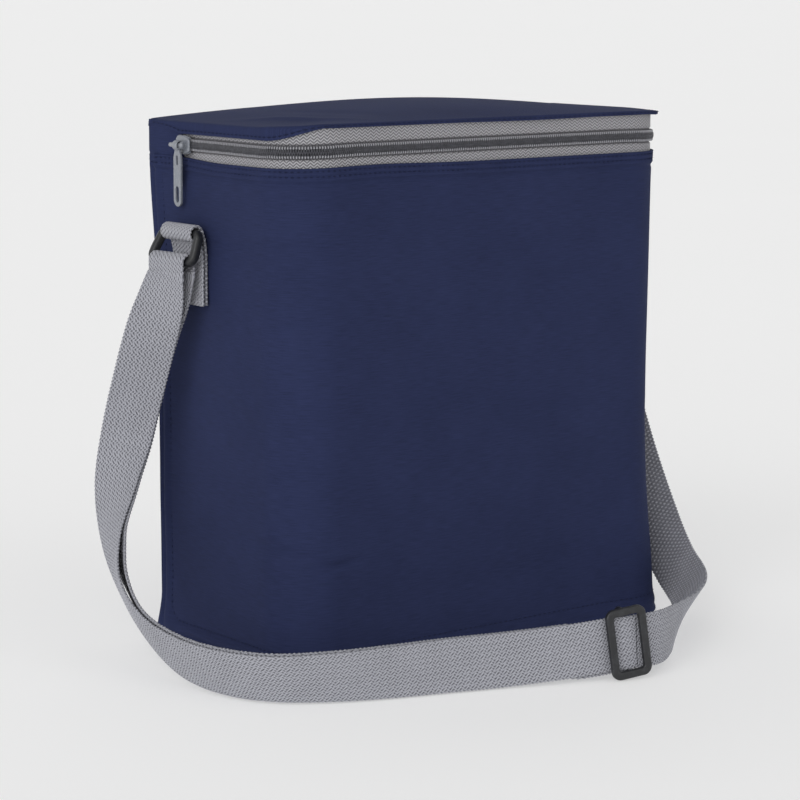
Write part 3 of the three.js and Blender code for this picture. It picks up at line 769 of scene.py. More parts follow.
def loop_over_bar(side, inner_leg):
    """The webbing's middle line over a ring's lower bar, from inside the ring to outside."""
    out, z = STRAP_BAR
    leg_z = 181.4
    rise = np.arange(leg_z - inner_leg, z, STEP)
    angle = np.linspace(math.pi, 0, 18)
    fall = np.arange(z, leg_z, -STEP)[1:]
    line = [(out - LOOP_R, v) for v in rise]
    line += [(out + LOOP_R * math.cos(a), z + LOOP_R * math.sin(a)) for a in angle]
    line += [(out + LOOP_R, v) for v in fall]
    line = np.array(line)
    return np.stack([side * line[:, 0], np.full(len(line), TAB_Y), line[:, 1]], -1)


def frames_from_line(middle, across):
    along = np.gradient(middle, axis=0)
    along /= np.linalg.norm(along, axis=1, keepdims=True)
    across = across - (across * along).sum(1, keepdims=True) * along
    across /= np.linalg.norm(across, axis=1, keepdims=True)
    return across, np.cross(across, along)


def line_length(middle):
    return np.concatenate([[0], np.cumsum(np.linalg.norm(np.diff(middle, axis=0), axis=1))])


def glide_lift(length):
    """The strap rises over the tri-glide's middle bar and dips behind its frame."""
    at = length - GLIDE_AT + GLIDE_BACK
    return 0.75 * bell(at, 0, 3.6) - 0.4 * (bell(at, -8.5, 3.0) + bell(at, 8.5, 3.0))


def make_strap():
    """The one webbing as four runs: each end turns over a ring, and the left end comes back
    behind the front layer to the tri-glide."""
    pieces = {}
    # front layer, from inside the left ring over its bar and down to the tri-glide
    loop = loop_over_bar(-1, 1.0)
    length = np.arange(0.5, GLIDE_AT + 2.0, STEP)
    _, middle, across, out = strap_frame(length)
    middle = middle + out * glide_lift(length)[:, None]
    line = np.concatenate([loop, middle])
    across = np.concatenate([np.tile((0.0, 1.0, 0.0), (len(loop), 1)), across])
    line, across = twisted(line, line), twisted(line, across, False)
    across, out = frames_from_line(line, across)
    pieces["strap_front_layer"] = (line, across, out)
    # right run, from the tri-glide to the right ring, over it and sewn to itself
    length = np.arange(GLIDE_AT + 2.0, ROUTE_LENGTH - 0.5, STEP)
    _, middle, across, out = strap_frame(length)
    middle = middle + out * glide_lift(length)[:, None]
    loop = loop_over_bar(1, 26.0)[::-1]
    line = np.concatenate([middle, loop])
    across = np.concatenate([across, np.tile((0.0, 1.0, 0.0), (len(loop), 1))])
    across, out = frames_from_line(line, across)
    pieces["strap_right_layer"] = (line, across, out)
    # returning layer, in two pieces so that its end can follow the tri-glide
    length = np.arange(-2.4, GLIDE_AT - GLIDE_BACK, STEP)
    station, middle, across, out = strap_frame(np.maximum(length, 0))
    above = np.minimum(length, 0)[:, None]
    middle = middle - out * return_offset(station)[:, None] - above * UP
    droop = 1.6 * smoothstep(GLIDE_AT - 34, GLIDE_AT - 24, length)[:, None]
    middle = middle + across * droop
    cut = int(np.searchsorted(length, RETURN_CUT))
    middle, across = twisted(middle, middle), twisted(middle, across, False)
    full_across, full_out = frames_from_line(middle, across)
    pieces["strap_return_upper"] = (middle[:cut + 1], full_across[:cut + 1], full_out[:cut + 1])
    pieces["strap_return_lower"] = (middle[cut:], full_across[cut:], full_out[cut:])
    made = {}
    offset = {"strap_right_layer": GLIDE_AT, "strap_return_lower": RETURN_CUT}
    for name, (line, across, out) in pieces.items():
        length = line_length(line) + offset.get(name, 0.0)
        made[name] = web(name, line, across, out, length)
    return made, pieces


strap, strap_lines = make_strap()


def ring(name, side):
    """A moulded loop: a rounded bar swept round a rectangle, tilted out at its foot."""
    middle = rounded_rectangle(RING_W - RING_BAR, RING_H - RING_BAR, 3.2, 8)
    dense = []
    for a, b in zip(middle, np.roll(middle, -1, 0)):
        steps = max(1, int(np.linalg.norm(b - a) / 0.9))
        dense += [a + (b - a) * k / steps for k in range(steps)]
    dense = np.array(dense)
    along = np.roll(dense, -1, 0) - np.roll(dense, 1, 0)
    along /= np.linalg.norm(along, axis=1, keepdims=True)
    outward = np.stack([along[:, 1], -along[:, 0]], -1)
    angle = np.arange(20) / 20 * 2 * math.pi
    power = 0.72
    profile = np.stack([
        np.sign(np.cos(angle)) * np.abs(np.cos(angle)) ** power * RING_BAR / 2,
        np.sign(np.sin(angle)) * np.abs(np.sin(angle)) ** power * RING_T / 2,
    ], -1)
    down = np.array([side * math.sin(RING_TILT), 0, -math.cos(RING_TILT)])
    across = np.array([0.0, 1.0, 0.0])
    face = np.cross(across, down) * side
    centre = np.array([side * TAB_AXIS[0], TAB_Y, TAB_AXIS[1]]) + down * (RING_H - RING_BAR) / 2
    path = centre + across * dense[:, :1] - down * dense[:, 1:]
    u = across * outward[:, :1] - down * outward[:, 1:]
    n = np.broadcast_to(face, u.shape)
    pile = Pile()
    stout = 1 + 0.3 * smoothstep(10, 13, np.abs(dense[:, 0]))
    profile = profile[None] * np.stack([0 * stout + 1, stout], -1)[:, None]
    if side < 0:
        path, u, n = twisted(path, path), twisted(path, u, False), twisted(path, n, False)
    sweep(pile, path, u, n, profile, closed=True)
    piece = pile.build(name, PLASTIC, 60)
    clean_up(piece.data, recalculate=True)
    return piece


ring_left, ring_right = ring("ring_left_bar", -1), ring("ring_right_bar", 1)
finish_piece(ring_left, "ring_left", ["ring_left"])
finish_piece(ring_right, "ring_right", ["ring_right"])


def triglide():
    """A frame in front of the strap with its middle bar behind, joined above and below."""
    _, middle, across, out = strap_frame(np.array([GLIDE_AT]))
    middle, across, out = middle[0], across[0], out[0]
    along = np.cross(out, across)
    if along[0] < 0:
        along = -along
    middle = middle - along * GLIDE_BACK
    lean = math.radians(5.5)
    up = -across * math.cos(lean) - along * math.sin(lean)
    along = along * math.cos(lean) - across * math.sin(lean)
    rise = max(0.0, 16.9 * abs(up[2]) - middle[2] + 0.4)
    middle = middle + np.array([0, 0, rise])
    width, height, bar, thick = 20.0, 33.0, 3.7, 2.6
    bevel = 0.75
    outer = inset_outline(rounded_rectangle(width, height, 4.2), bevel)
    hole = inset_outline(rounded_rectangle(width - 2 * bar, height - 2 * bar, 1.3)[::-1], bevel)
    at = middle + out * (WEB_T / 2 + 0.75 + thick / 2)
    place = matrix(along, up, np.cross(along, up), at)
    frame_piece = extruded("triglide_frame", outer, [hole], thick, bevel, PLASTIC, place)
    bar_outline = inset_outline(rounded_rectangle(3.4, height - 2, 1.5), 0.6)
    back_at = middle - out * 4.1
    back = extruded("triglide_bar", bar_outline, [], 2.0, 0.6, PLASTIC,
                    matrix(along, up, np.cross(along, up), back_at))
    joins = []
    for end in (-1, 1):
        pile = Pile()
        foot = middle + up * end * (height / 2 - 1.9)
        path = [foot + out * d for d in np.linspace(-4.2, 2.6, 6)]
        tube(pile, path, 1.5, 12, flat=0.8, side=along)
        joins.append(pile.build("triglide_join_" + ("low", "high")[end > 0], PLASTIC))
    return frame_piece, [back, *joins]


glide, glide_parts = triglide()


def return_fold():
    """The end of the returning layer, turned round the tri-glide's bar and sewn to itself."""
    bar = GLIDE_AT - GLIDE_BACK
    knots = np.array([
        (0, 2.1, 0), (2.0, 2.3, 0), (3.05, 3.1, 0), (3.15, 4.4, 0), (2.2, 5.5, 0), (0, 6.0, 0),
        (-4, 5.8, 0), (-8, 5.3, 0), (-12, 5.0, 0), (-15, 4.9, 0),
    ], float)
    line = catmull_rom(knots, np.linspace(0, len(knots) - 1, 400))
    reach = line_length(line)
    marks = np.arange(0.3, reach[-1], STEP)
    length = bar + np.interp(marks, reach, line[:, 0])
    offset = np.interp(marks, reach, line[:, 1])
    _, middle, across, out = strap_frame(length)
    middle = middle - out * offset[:, None] + across * 2.2
    across, out = frames_from_line(middle, across)
    return web("strap_return_fold", middle, across, out, marks)


finish_piece(return_fold(), "triglide")
finish_piece(glide, "triglide", ["triglide"])
for part in glide_parts:
    finish_piece(part, "triglide")

finish_piece(strap["strap_front_layer"],
             nodes=["strap_outer_layer", "strap_loop_left"])
finish_piece(strap["strap_right_layer"], nodes=["strap_right_run", "strap_loop_right"])
finish_piece(strap["strap_return_upper"], nodes=["strap_return_layer"])
finish_piece(strap["strap_return_lower"])
for name in ("strap_front_layer", "strap_return_upper"):
    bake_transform(strap[name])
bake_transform(strap["strap_right_layer"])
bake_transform(strap["strap_return_lower"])


def sewn_end():
    """Box stitches where the strap's right end is sewn back to itself below the ring."""
    pile = Pile()
    near, far, half = ROUTE_LENGTH - 4.0, ROUTE_LENGTH - 21.0, 10.4
    box = [(near, -half), (near, half), (far, half), (far, -half), (near, -half)]
    for line in (box, [(near, -half), (far, half)], [(near, half), (far, -half)]):
        for (a, b), (c, d) in zip(line[:-1], line[1:]):
            share = np.linspace(0, 1, 50)
            _, middle, across, out = strap_frame(a + (c - a) * share)
            u = (b + (d - b) * share)[:, None]
            stitch_row(pile, middle + across * u + out * (WEB_T / 2), out, 2.4, 1.8, 0.26)
    return pile.build("strap_right_stitches", GREY_THREAD)


right_stitches = sewn_end()
finish_piece(right_stitches)
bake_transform(right_stitches)


# ---------------------------------------------------------------- the bag's plan

SIDE = 2 * HALF_D - FRONT_R - BACK_R       # straight part of each side
ARC = FRONT_R * math.pi / 2
FRONT = 2 * (HALF_W - FRONT_R)
BACK_ARC = BACK_R * math.pi / 4            # the back seams lie halfway round the back corners
HALF_WALK = BACK_ARC + SIDE + ARC + FRONT / 2
WALK = 2 * HALF_WALK                       # from the left back seam round the front to the right


def plan(s):
    """Place and outward direction on the outer face, s mm from the left back seam."""
    s = np.asarray(s, float)
    t = np.where(s > HALF_WALK, WALK - s, s)
    mirror = np.where(s > HALF_WALK, -1.0, 1.0)
    a1 = np.clip(t, -2, BACK_ARC) / BACK_R + math.pi / 4      # 45 to 90 degrees, from the back
    a2 = np.clip(t - BACK_ARC - SIDE, 0, ARC) / FRONT_R
    nx = -np.sin(a1) * np.cos(a2)
    ny = np.cos(a1) - np.sin(a2)
    x = -(HALF_W - BACK_R) - BACK_R * np.sin(a1)
    y = (HALF_D - BACK_R) + BACK_R * np.cos(a1)
    y = y - np.clip(t - BACK_ARC, 0, SIDE)
    x = x + FRONT_R * (1 - np.cos(a2)) + np.clip(t - BACK_ARC - SIDE - ARC, 0, None)
    y = y - FRONT_R * np.sin(a2)
    return x * mirror, y, nx * mirror, ny


def walk_to(y, side=-1):
    """s of a place on a straight side."""
    s = BACK_ARC + (HALF_D - BACK_R) - y
    return s if side < 0 else WALK - s


def crease(s, z, at, half_long, half_wide, depth, turn=0.0):
    """One soft fold in the cloth: a valley with a low ridge above it."""
    ds, dz = s - at[0], z - at[1]
    c, n = math.cos(math.radians(turn)), math.sin(math.radians(turn))
    along, over = ds * c + dz * n, -ds * n + dz * c
    ridge = np.exp(-((over - 1.7 * half_wide) / (1.3 * half_wide)) ** 2)
    shape = -np.exp(-(over / half_wide) ** 2) + 0.7 * ridge
    return depth * shape * np.exp(-(along / half_long) ** 2)


CLOUDS = [
    (rng.uniform(0.015, 0.075), rng.uniform(-math.pi, math.pi), rng.uniform(0, 2 * math.pi))
    for _ in range(22)
]


def clouds(s, z):
    """Slow swells of cloth over foam, about 1 mm at most."""
    total_height = 0.0
    for size, way, phase in CLOUDS:
        swell = np.sin(size * (s * math.cos(way) + z * math.sin(way)) + phase)
        total_height = total_height + swell * 0.011 / size
    return total_height / 3.4


HEM_STITCHES = (1.3, 3.7)        # below the hem's edge
FRAME_STITCH = 11.0              # in from the sewn edges


def body_hem(s):
    """Height of the body's top hem."""
    return 232.4 + 1.9 * (1 - smoothstep(15, 60, s)) + 0.9 * bell(s, 152, 32)


def edge_distance(s, z):
    """Distance from the back and base seams, round in the lower corners."""
    e = np.minimum(s, WALK - s)
    return 1 / (1 / (e + 0.3) ** 3 + 1 / (z + 0.3) ** 3) ** (1 / 3)


def puckers(place):
    """The dimples that a row of stitches draws into the cloth, 0.1 to 1."""
    return 0.55 + 0.45 * np.cos(2 * math.pi * place / STITCH)


def seam_ridge(e):
    """A sewn edge: a soft ridge, the groove beside it and the welt at the seam."""
    return 1.05 * bell(e, 7.9, 2.1) - 1.1 * bell(e, 4.5, 1.1) + 0.3 * bell(e, 2.2, 1.2)


def rolled_under(z):
    """How far a panel's lowest 1.5 mm rolls in towards the base seam."""
    return 1.5 * (1 - np.sqrt(np.clip(1 - (1 - np.clip(z / 1.5, 0, 1)) ** 2, 0, 1)))


def wall_shape(s, z):
    """How far the shell stands out from its plain plan."""
    s, z = np.broadcast_arrays(np.asarray(s, float), np.asarray(z, float))
    right = smoothstep(HALF_WALK + 40, WALK - 70, s)
    left = 1 - smoothstep(40, HALF_WALK - 40, s)
    tall = np.clip(z / 233, 0, 1)
    d = -2.6 * right * np.sin(math.pi * tall) ** 0.9 - 1.0 * left * np.sin(math.pi * tall) ** 2
    front = np.sin(np.clip((s - 100) / (WALK - 200), 0, 1) * math.pi)
    d = d + 1.1 * front * np.sin(math.pi * np.clip((z - 8) / 200, 0, 1))
    corner = WALK - BACK_ARC - SIDE - ARC / 2
    d = d + 3.4 * bell(z, 6, 44) * bell(s, corner, 28) + 1.8 * bell(z, 0, 9) * bell(s, corner, 17)
    d = d + 2.4 * bell(z, 0, 13) * bell(s, 0, 16) - 1.2 * bell(z, 34, 24) * bell(s, 0, 30)
    d = d + clouds(s, z) * smoothstep(2, 22, edge_distance(s, z)) * smoothstep(0, 14, 232 - z)
    left_corner = WALK - corner
    for fold in (
        ((left_corner - 18, 196), 34, 3.2, 1.0, 3),
        ((left_corner + 20, 180), 24, 3.4, 0.7, -6),
        ((left_corner - 2, 160), 18, 4.2, 0.7, 8),
        ((left_corner + 21, 52), 11, 1.9, 1.3, 5),
        ((left_corner - 12, 58), 22, 3.2, 0.8, -9),
        ((left_corner - 8, 90), 16, 4.5, 0.5, 12),
        ((HALF_WALK + 42, 176), 30, 3.4, 0.9, 2),
        ((HALF_WALK + 50, 110), 40, 6.0, 0.8, -8),
        ((HALF_WALK - 20, 120), 26, 5.0, 0.5, 14),
        ((HALF_WALK + 8, 34), 46, 6.5, 0.8, 4),
        ((WALK - 66, 120), 22, 4.0, 1.1, 6),
        ((WALK - 40, 70), 26, 4.6, 0.9, -12),
        ((WALK - 52, 178), 24, 4.2, 0.8, 10),
        ((62, 120), 26, 4.4, 0.6, -14),
        ((40, 60), 22, 4.0, 0.6, 9),
    ):
        d = d + crease(s, z, *fold)
    # the weight on the tab draws the cloth in below it and out at its foot
    d = d + 0.9 * bell(s, walk_to(TAB_Y) + 20, 12) * bell(z, 176, 24)
    # sewn edges: a soft ridge with its row of stitches, and a groove beside the seam
    e = edge_distance(s, z)
    gain = 1 - 0.7 * smoothstep(95, 150, s) * (1 - smoothstep(WALK - 60, WALK - 20, s))
    d = d + gain * seam_ridge(e) - 0.9 * bell(e, 0, 1.2)
    d = d - 0.6 * bell(e, FRAME_STITCH, 0.9) * gain * puckers(s + z)
    # hem: the cloth turned in, so one layer thicker, with two rows of stitches
    h = body_hem(s) - z
    inside = smoothstep(0, 7, np.minimum(s, WALK - s))
    d = d + inside * (0.5 * (1 - smoothstep(5.2, 6.6, h)) - 0.4 * bell(h, 7.2, 1.0))
    for row in HEM_STITCHES:
        d = d - 0.75 * bell(h, row, 0.75) * puckers(s)
    return d


def ears(points):
    """The back corners stand out a little at the top, where all the seams meet."""
    x, y, z = points[..., 0], points[..., 1], points[..., 2]
    share = bell(HALF_D - y, 0, 19) * bell(HALF_W - np.abs(x), 0, 22) * smoothstep(172, 238, z)
    tip = bell(x, 108, 10) * bell(y, -49, 10) * smoothstep(246, 250.5, z)
    points[..., 0] += np.sign(x) * 2.5 * share + 1.7 * tip
    points[..., 1] -= 1.3 * tip
    return points


def on_wall(s, z, out=0.0):
    """A point on the shell, out mm from its outer face."""
    s, z = np.broadcast_arrays(np.asarray(s, float), np.asarray(z, float))
    x, y, nx, ny = plan(s)
    d = wall_shape(s, z) + out
    return ears(np.stack([x + nx * d, y + ny * d, z], -1))


def outward_at(s):
    _, _, nx, ny = plan(s)
    return level(nx, ny)


# ---------------------------------------------------------------- shell, back, base

def shell():
    s = np.linspace(0, WALK, 300)
    low = np.concatenate([np.linspace(0, 16, 28), np.linspace(17.5, 222, 120)])
    share = np.concatenate([low / 232.4, np.linspace(223, 232.4, 30) / 232.4])
    z = share[:, None] * body_hem(s)[None]
    outer = on_wall(s[None], z)
    roll = rolled_under(z)
    _, _, nx, ny = plan(s)
    outer[..., 0] -= roll * nx
    outer[..., 1] -= roll * ny
    thick = 0.8 + 0.45 * (1 - smoothstep(5.2, 6.6, body_hem(s)[None] - z))
    inner = outer - level(nx, ny)[None] * thick[..., None]
    cloth = sheet_piece("shell_cloth", NAVY, outer, inner, lay_grid(s[None], z), 70, (0, 0, 0.2))
    threads = Pile()
    line = np.linspace(2, WALK - 2, 900)
    for row in HEM_STITCHES:
        stitch_row(threads, on_wall(line, body_hem(line) - row, 0.05), outward_at(line))
    radius = FRAME_STITCH
    up = np.linspace(body_hem(0.0) - 8, radius + 9, 200)
    turn = np.linspace(0, math.pi / 2, 30)
    s_path = np.concatenate([
        np.full(200, radius), radius + 9 * (1 - np.cos(turn)),
        np.linspace(radius + 9.5, WALK - radius - 9.5, 700),
        (WALK - radius - 9 * (1 - np.cos(turn)))[::-1], np.full(200, WALK - radius),
    ])
    z_path = np.concatenate([
        up, radius + 9 * (1 - np.sin(turn)), np.full(700, radius),
        (radius + 9 * (1 - np.sin(turn)))[::-1], up[::-1],
    ])
    stitch_row(threads, on_wall(s_path, z_path, 0.05), outward_at(s_path))
    return cloth, threads


shell_cloth, shell_threads = shell()
finish_piece(shell_cloth, "root", ["front_side_panel"])
finish_piece(shell_threads.build("shell_stitches", NAVY_THREAD), "root")


def lid_back_edge(x):
    return 250.7 + 4.4 * (1 - (np.abs(x) / HALF_W) ** 2.2)


def back_shape(x, z):
    tall = np.clip(z / 250, 0, 1)
    e = np.minimum(HALF_W - 1 - np.abs(x), z)
    d = 0.9 * np.sin(math.pi * tall) * np.cos(math.pi * x / 230)
    d = d + clouds(x * 1.1 + 900, z + 300) * smoothstep(2, 22, e)
    d = d + seam_ridge(e) - 0.8 * bell(e, 0, 1.2)
    d = d - 0.38 * bell(e, FRAME_STITCH, 0.8) * puckers(x + z)
    for fold in (
        ((-40, 170), 40, 5, 0.9, 5), ((45, 120), 44, 6, 0.8, -7), ((-10, 70), 36, 5, 0.7, 10),
        ((60, 205), 26, 4, 0.7, 3), ((-70, 40), 24, 4, 0.7, -12),
    ):
        d = d + crease(x, z, *fold)
    return d


def back():
    """The back: flat, with its ends rolled into the back seams."""
    u = np.linspace(-1, 1, 170)
    width = HALF_W - BACK_R
    reach = width + BACK_ARC
    q = u * reach
    over = np.clip(np.abs(q) - width, 0, None) / BACK_R
    x = np.sign(q) * (np.minimum(np.abs(q), width) + BACK_R * np.sin(over))
    y = HALF_D - BACK_R * (1 - np.cos(over))
    nx, ny = np.sign(q) * np.sin(over), np.cos(over)
    top = lid_back_edge(x) - 1.6
    share = np.concatenate([np.linspace(0, 0.07, 26), np.linspace(0.077, 0.95, 110),
                            np.linspace(0.955, 1, 16)])
    z = share[:, None] * top[None]
    d = back_shape(x[None], z) - rolled_under(z)
    outer = ears(np.stack([x + nx * d, y + ny * d, z], -1))
    inner = outer - level(nx, ny)[None] * 0.8
    cloth = sheet_piece("back_cloth", NAVY, outer, inner, lay_grid(x[None] + 900, z), 70,
                        (0, 0, 0.2), flip=True)
    threads = Pile()
    reach = HALF_W - 1 - FRAME_STITCH
    line = np.concatenate([
        [(-reach, z) for z in np.linspace(246, FRAME_STITCH + 4, 200)],
        [(x, FRAME_STITCH) for x in np.linspace(-reach + 3, reach - 3, 260)],
        [(reach, z) for z in np.linspace(FRAME_STITCH + 4, 246, 200)],
    ])
    y = HALF_D + back_shape(line[:, 0], line[:, 1]) + 0.05
    places = np.stack([line[:, 0], y, line[:, 1]], -1)
    stitch_row(threads, places, np.tile((0.0, 1.0, 0.0), (len(places), 1)))
    return cloth, threads


back_cloth, back_threads = back()
finish_piece(back_cloth, "root", ["back_panel"])
finish_piece(back_threads.build("back_stitches", NAVY_THREAD), "root")


def full_outline(count=360, inset=0.0):
    """Left middle, round the front to the right middle, and back again: two halves of count."""
    s = np.linspace(0, WALK, 4000)
    x, y, nx, ny = plan(s)
    width = HALF_W - BACK_R
    bx = np.linspace(width, -width, 800)
    by = np.full(800, HALF_D)
    arc_a = np.linspace(math.pi / 4, 0, 12)[1:-1]
    cx = (HALF_W - BACK_R) + BACK_R * np.sin(arc_a)
    cy = (HALF_D - BACK_R) + BACK_R * np.cos(arc_a)
    px = np.concatenate([x, cx, bx, -cx[::-1]])
    py = np.concatenate([y, cy, by, cy[::-1]])
    qx = np.concatenate([nx, np.sin(arc_a), 0 * bx, -np.sin(arc_a)[::-1]])
    qy = np.concatenate([ny, np.cos(arc_a), np.ones(800), np.cos(arc_a)[::-1]])
    start = int(np.argmin(np.abs(y[:2000]) + (np.abs(x[:2000] + HALF_W) > 1) * 99))
    px, py, qx, qy = (np.roll(v, -start) for v in (px, py, qx, qy))
    step = np.hypot(np.diff(np.append(px, px[0])), np.diff(np.append(py, py[0])))
    reach = np.concatenate([[0], np.cumsum(step)])
    close = [np.append(v, v[0]) for v in (px, py, qx, qy)]
    turn = float(reach[int(np.argmin(np.hypot(px - HALF_W, py)))])
    marks = np.concatenate([
        np.linspace(0, turn, count, endpoint=False),
        np.linspace(turn, reach[-1], count, endpoint=False),
    ])
    ox, oy, nx, ny = (np.interp(marks, reach, v) for v in close)
    return ox - nx * inset, oy - ny * inset, nx, ny, marks


def walk_of(x, y):
    """s of outline points, from their places."""
    s = np.where(
        y > -(HALF_D - FRONT_R),
        BACK_ARC + (HALF_D - BACK_R) - y,
        BACK_ARC + SIDE + FRONT_R * np.arctan2(
            -(y + HALF_D - FRONT_R), np.maximum(np.abs(x) - (HALF_W - FRONT_R), 1e-9)),
    )
    flat = (np.abs(x) <= HALF_W - FRONT_R) & (y < 0)
    s = np.where(flat, BACK_ARC + SIDE + ARC + (HALF_W - FRONT_R) - np.abs(x), s)
    return np.where(x > 0, WALK - s, s)


def middle_line(ox, count):
    """x of the line that an outline's rings close on, for each of its points."""
    half_x = (ox[:count] + np.roll(ox[::-1], 1)[:count]) / 2
    spine = np.clip(half_x, -60, 60)
    return np.concatenate([spine, np.clip(ox[count:count + 1], -60, 60), spine[:0:-1]])


def plate(name, material, z_low, z_high, inset, lay_shift=0.0, rounding=0.8, ring_count=26,
          dent=None):
    """A flat layer across the bag, as rings from its edge to its middle line."""
    count = 240
    ox, oy, _, _, _ = full_outline(count, inset)
    spine = middle_line(ox, count)
    r = np.linspace(0, 1, ring_count)[:, None] ** 1.15
    x = ox[None] * (1 - r) + spine[None] * r
    y = oy[None] * (1 - r)
    faces = []
    for z, sign in ((z_high, 1), (z_low, -1)):
        height = np.full_like(x, z) if not callable(z) else z(x, y)
        edge = (1 - np.clip(r * 50 / rounding, 0, 1)) * rounding * 0.5
        height = height - sign * edge
        if dent is not None:
            height = height + dent(x, y, sign)
        faces.append(np.stack([x, y, height], -1))
    loop = np.concatenate([faces[0][::-1], faces[1]])
    lay = loop + np.array([lay_shift, 0, 0])
    pile = Pile()
    quads = grid_quads(loop.shape[0], loop.shape[1], wrap_cols=True)
    pile.add(loop, quads, lay=lay)
    return pile.build(name, material, 60, merge=True)


base_cloth = plate("base_cloth", NAVY, 0.0, 0.9, 1.4, 2000)
finish_piece(base_cloth, "root", ["base_panel"])


# ---------------------------------------------------------------- lid

def lid_hem(s):
    """Height of the lid hem's lower edge: low over the sides, lifted along the front."""
    front = smoothstep(94, 127, s) * (1 - smoothstep(WALK - 96, WALK - 66, s))
    e = np.minimum(s, WALK - s)
    rise = 4.4 * np.clip(1 - e / 25, 0, 1) ** 0.8
    return 244.8 + 6.3 * front - 0.9 * bell(s, HALF_WALK + 22, 60) + rise


def lid_rim(x, y):
    """Height of the lid's top edge."""
    front = smoothstep(20, 50, -y)
    side = 250.5 + 1.6 * smoothstep(0, 90, x) * (1 - smoothstep(30, 57, y))
    edge = side * (1 - front) + (252.4 - 0.9 * smoothstep(95, 112, np.abs(x))) * front
    at_back = smoothstep(52, 57.2, y)
    return edge * (1 - at_back) + lid_back_edge(x) * at_back


def lid_top(x, y):
    """The crowned lid: held down at its edges, sagging a little behind the left front corner."""
    u, v = np.clip(np.abs(x) / HALF_W, 0, 1), np.clip(np.abs(y) / HALF_D, 0, 1)
    back_z = lid_back_edge(x)
    front_z = 252.2 - 0.9 * u ** 4
    t = (y + HALF_D) / (2 * HALF_D)
    z = front_z * (1 - t) + back_z * t
    side_z = 250.5 + 1.6 * smoothstep(0, 90, x)
    hold = smoothstep(0.72, 1.0, u) * (1 - 0.4 * t)
    z = z * (1 - hold) + np.minimum(z, side_z) * hold
    z = z + (2.4 * (1 - u ** 2.4) + 2.2 * bell(x, 4, 60)) * (1 - v ** 2.4)
    z = z + 0.4 * clouds(x + 400, y + 500) * (1 - np.maximum(u, v) ** 6)
    z = z - 1.5 * bell(x, -86, 17) * bell(y, -33, 17)
    z = z + 0.8 * bell(x + 0.7 * y, -100, 5) * bell(y, -22, 24)
    z = z - 0.5 * bell(x + 0.5 * y, -74, 7) * bell(y, -18, 22)
    return z


HEM_ROWS, RIM_ROWS = 9, 7        # rows of points up the lid's hem and round its rim
LID_COUNT = 360                  # points in each half of the lid's outline


def lid_rows(inset, top, hem, out, rounding, ring_count=38, count=LID_COUNT, hem_rows=HEM_ROWS):
    """Rings of one face of the lid: up its hem, over the rounded rim and in to the middle."""
    ox, oy, nx, ny, marks = full_outline(count, inset)
    s = walk_of(ox, oy)
    behind = smoothstep(HALF_D - 4.5, HALF_D - 3, oy)
    bottom = hem(s) * (1 - behind) + (lid_back_edge(ox) - 3.4) * behind
    spine = middle_line(ox, count)
    length = np.hypot(spine - ox, oy)
    rim = lid_rim(ox, oy)
    rows = []
    for k in range(hem_rows):
        t = k / hem_rows
        z = bottom + (rim - rounding - bottom) * t
        rows.append(np.stack([ox + nx * out, oy + ny * out, z], -1))
    for a in np.linspace(0, math.pi / 2, RIM_ROWS):
        inward = rounding * (1 - math.cos(a))
        z = rim - rounding * (1 - math.sin(a))
        rows.append(np.stack([ox + nx * (out - inward), oy + ny * (out - inward), z], -1))
    start = (rounding - out) / length
    for k in range(1, ring_count + 1):
        t = (k / ring_count) ** 1.25
        r = start + (1 - start) * t
        x, y = ox * (1 - r) + spine * r, oy * (1 - r)
        inward = r * length
        hug = np.exp(-((inward - rounding + out) / 7.0)) * (k < ring_count)
        z = top(x, y) * (1 - hug) + (rim + 0.05 * inward) * hug
        rows.append(np.stack([x, y, z], -1))
    return ears(np.array(rows)), marks


def lid():
    top_start = HEM_ROWS + RIM_ROWS
    outer, marks = lid_rows(0.0, lid_top, lid_hem, 0.35, 1.7)
    inner, _ = lid_rows(0.8, lambda x, y: lid_top(x, y) - 0.8, lambda q: lid_hem(q) + 0.05,
                        0.35, 1.2)
    # the rim's inner face lies below the outer one
    inner[HEM_ROWS:top_start, :, 2] -= 0.75
    blend_down = np.linspace(0.75, 0.0, len(inner) - top_start)[:, None]
    fading = np.exp(-np.arange(len(inner) - top_start) / 6)[:, None]
    inner[top_start:, :, 2] -= blend_down * fading
    # puckers of the topstitching along the hem
    hem_height = outer[..., 2] - outer[:1, :, 2]
    pull_in = 0.3 * bell(hem_height, 1.5, 0.6) * puckers(marks)[None]
    _, _, nx, ny, _ = full_outline(LID_COUNT)
    ripple = 0.25 * np.sin(marks / 11.0) * np.sin(marks / 29.0 + 1.0)
    pull_in = pull_in + (ripple[None] * np.exp(-hem_height / 3.0))
    pull_in[top_start:] = 0
    outer[..., 0] -= nx * pull_in
    outer[..., 1] -= ny * pull_in
    loop = np.concatenate([outer[::-1], inner])
    lay = loop.copy()
    lay[..., 0] += 3000
    lay[..., 2] = 0
    pile = Pile()
    pile.add(loop, grid_quads(loop.shape[0], loop.shape[1], wrap_cols=True), lay=lay)
    cloth = pile.build("lid_cloth", NAVY, 70, merge=True)
    threads = Pile()
    lift = np.minimum(1.5, 0.45 * (outer[top_start - 1, :, 2] - outer[0, :, 2]))
    line = outer[0] + lift[:, None] * UP
    keep = line[:, 1] < HALF_D - 5
    line, n = line[keep], level(nx, ny)[keep]
    # the outline starts at the middle of the left side, so the kept run is put in order
    order = np.argsort(walk_of(line[:, 0], line[:, 1]))
    stitch_row(threads, line[order] + n[order] * 0.05, n[order])
    x = np.linspace(-HALF_W + 4, HALF_W - 4, 260)
    line = np.stack([x, np.full(260, HALF_D + 0.42), lid_back_edge(x) - 2.2], -1)
    stitch_row(threads, line, np.tile((0.0, 1.0, 0.0), (260, 1)))
    return cloth, threads


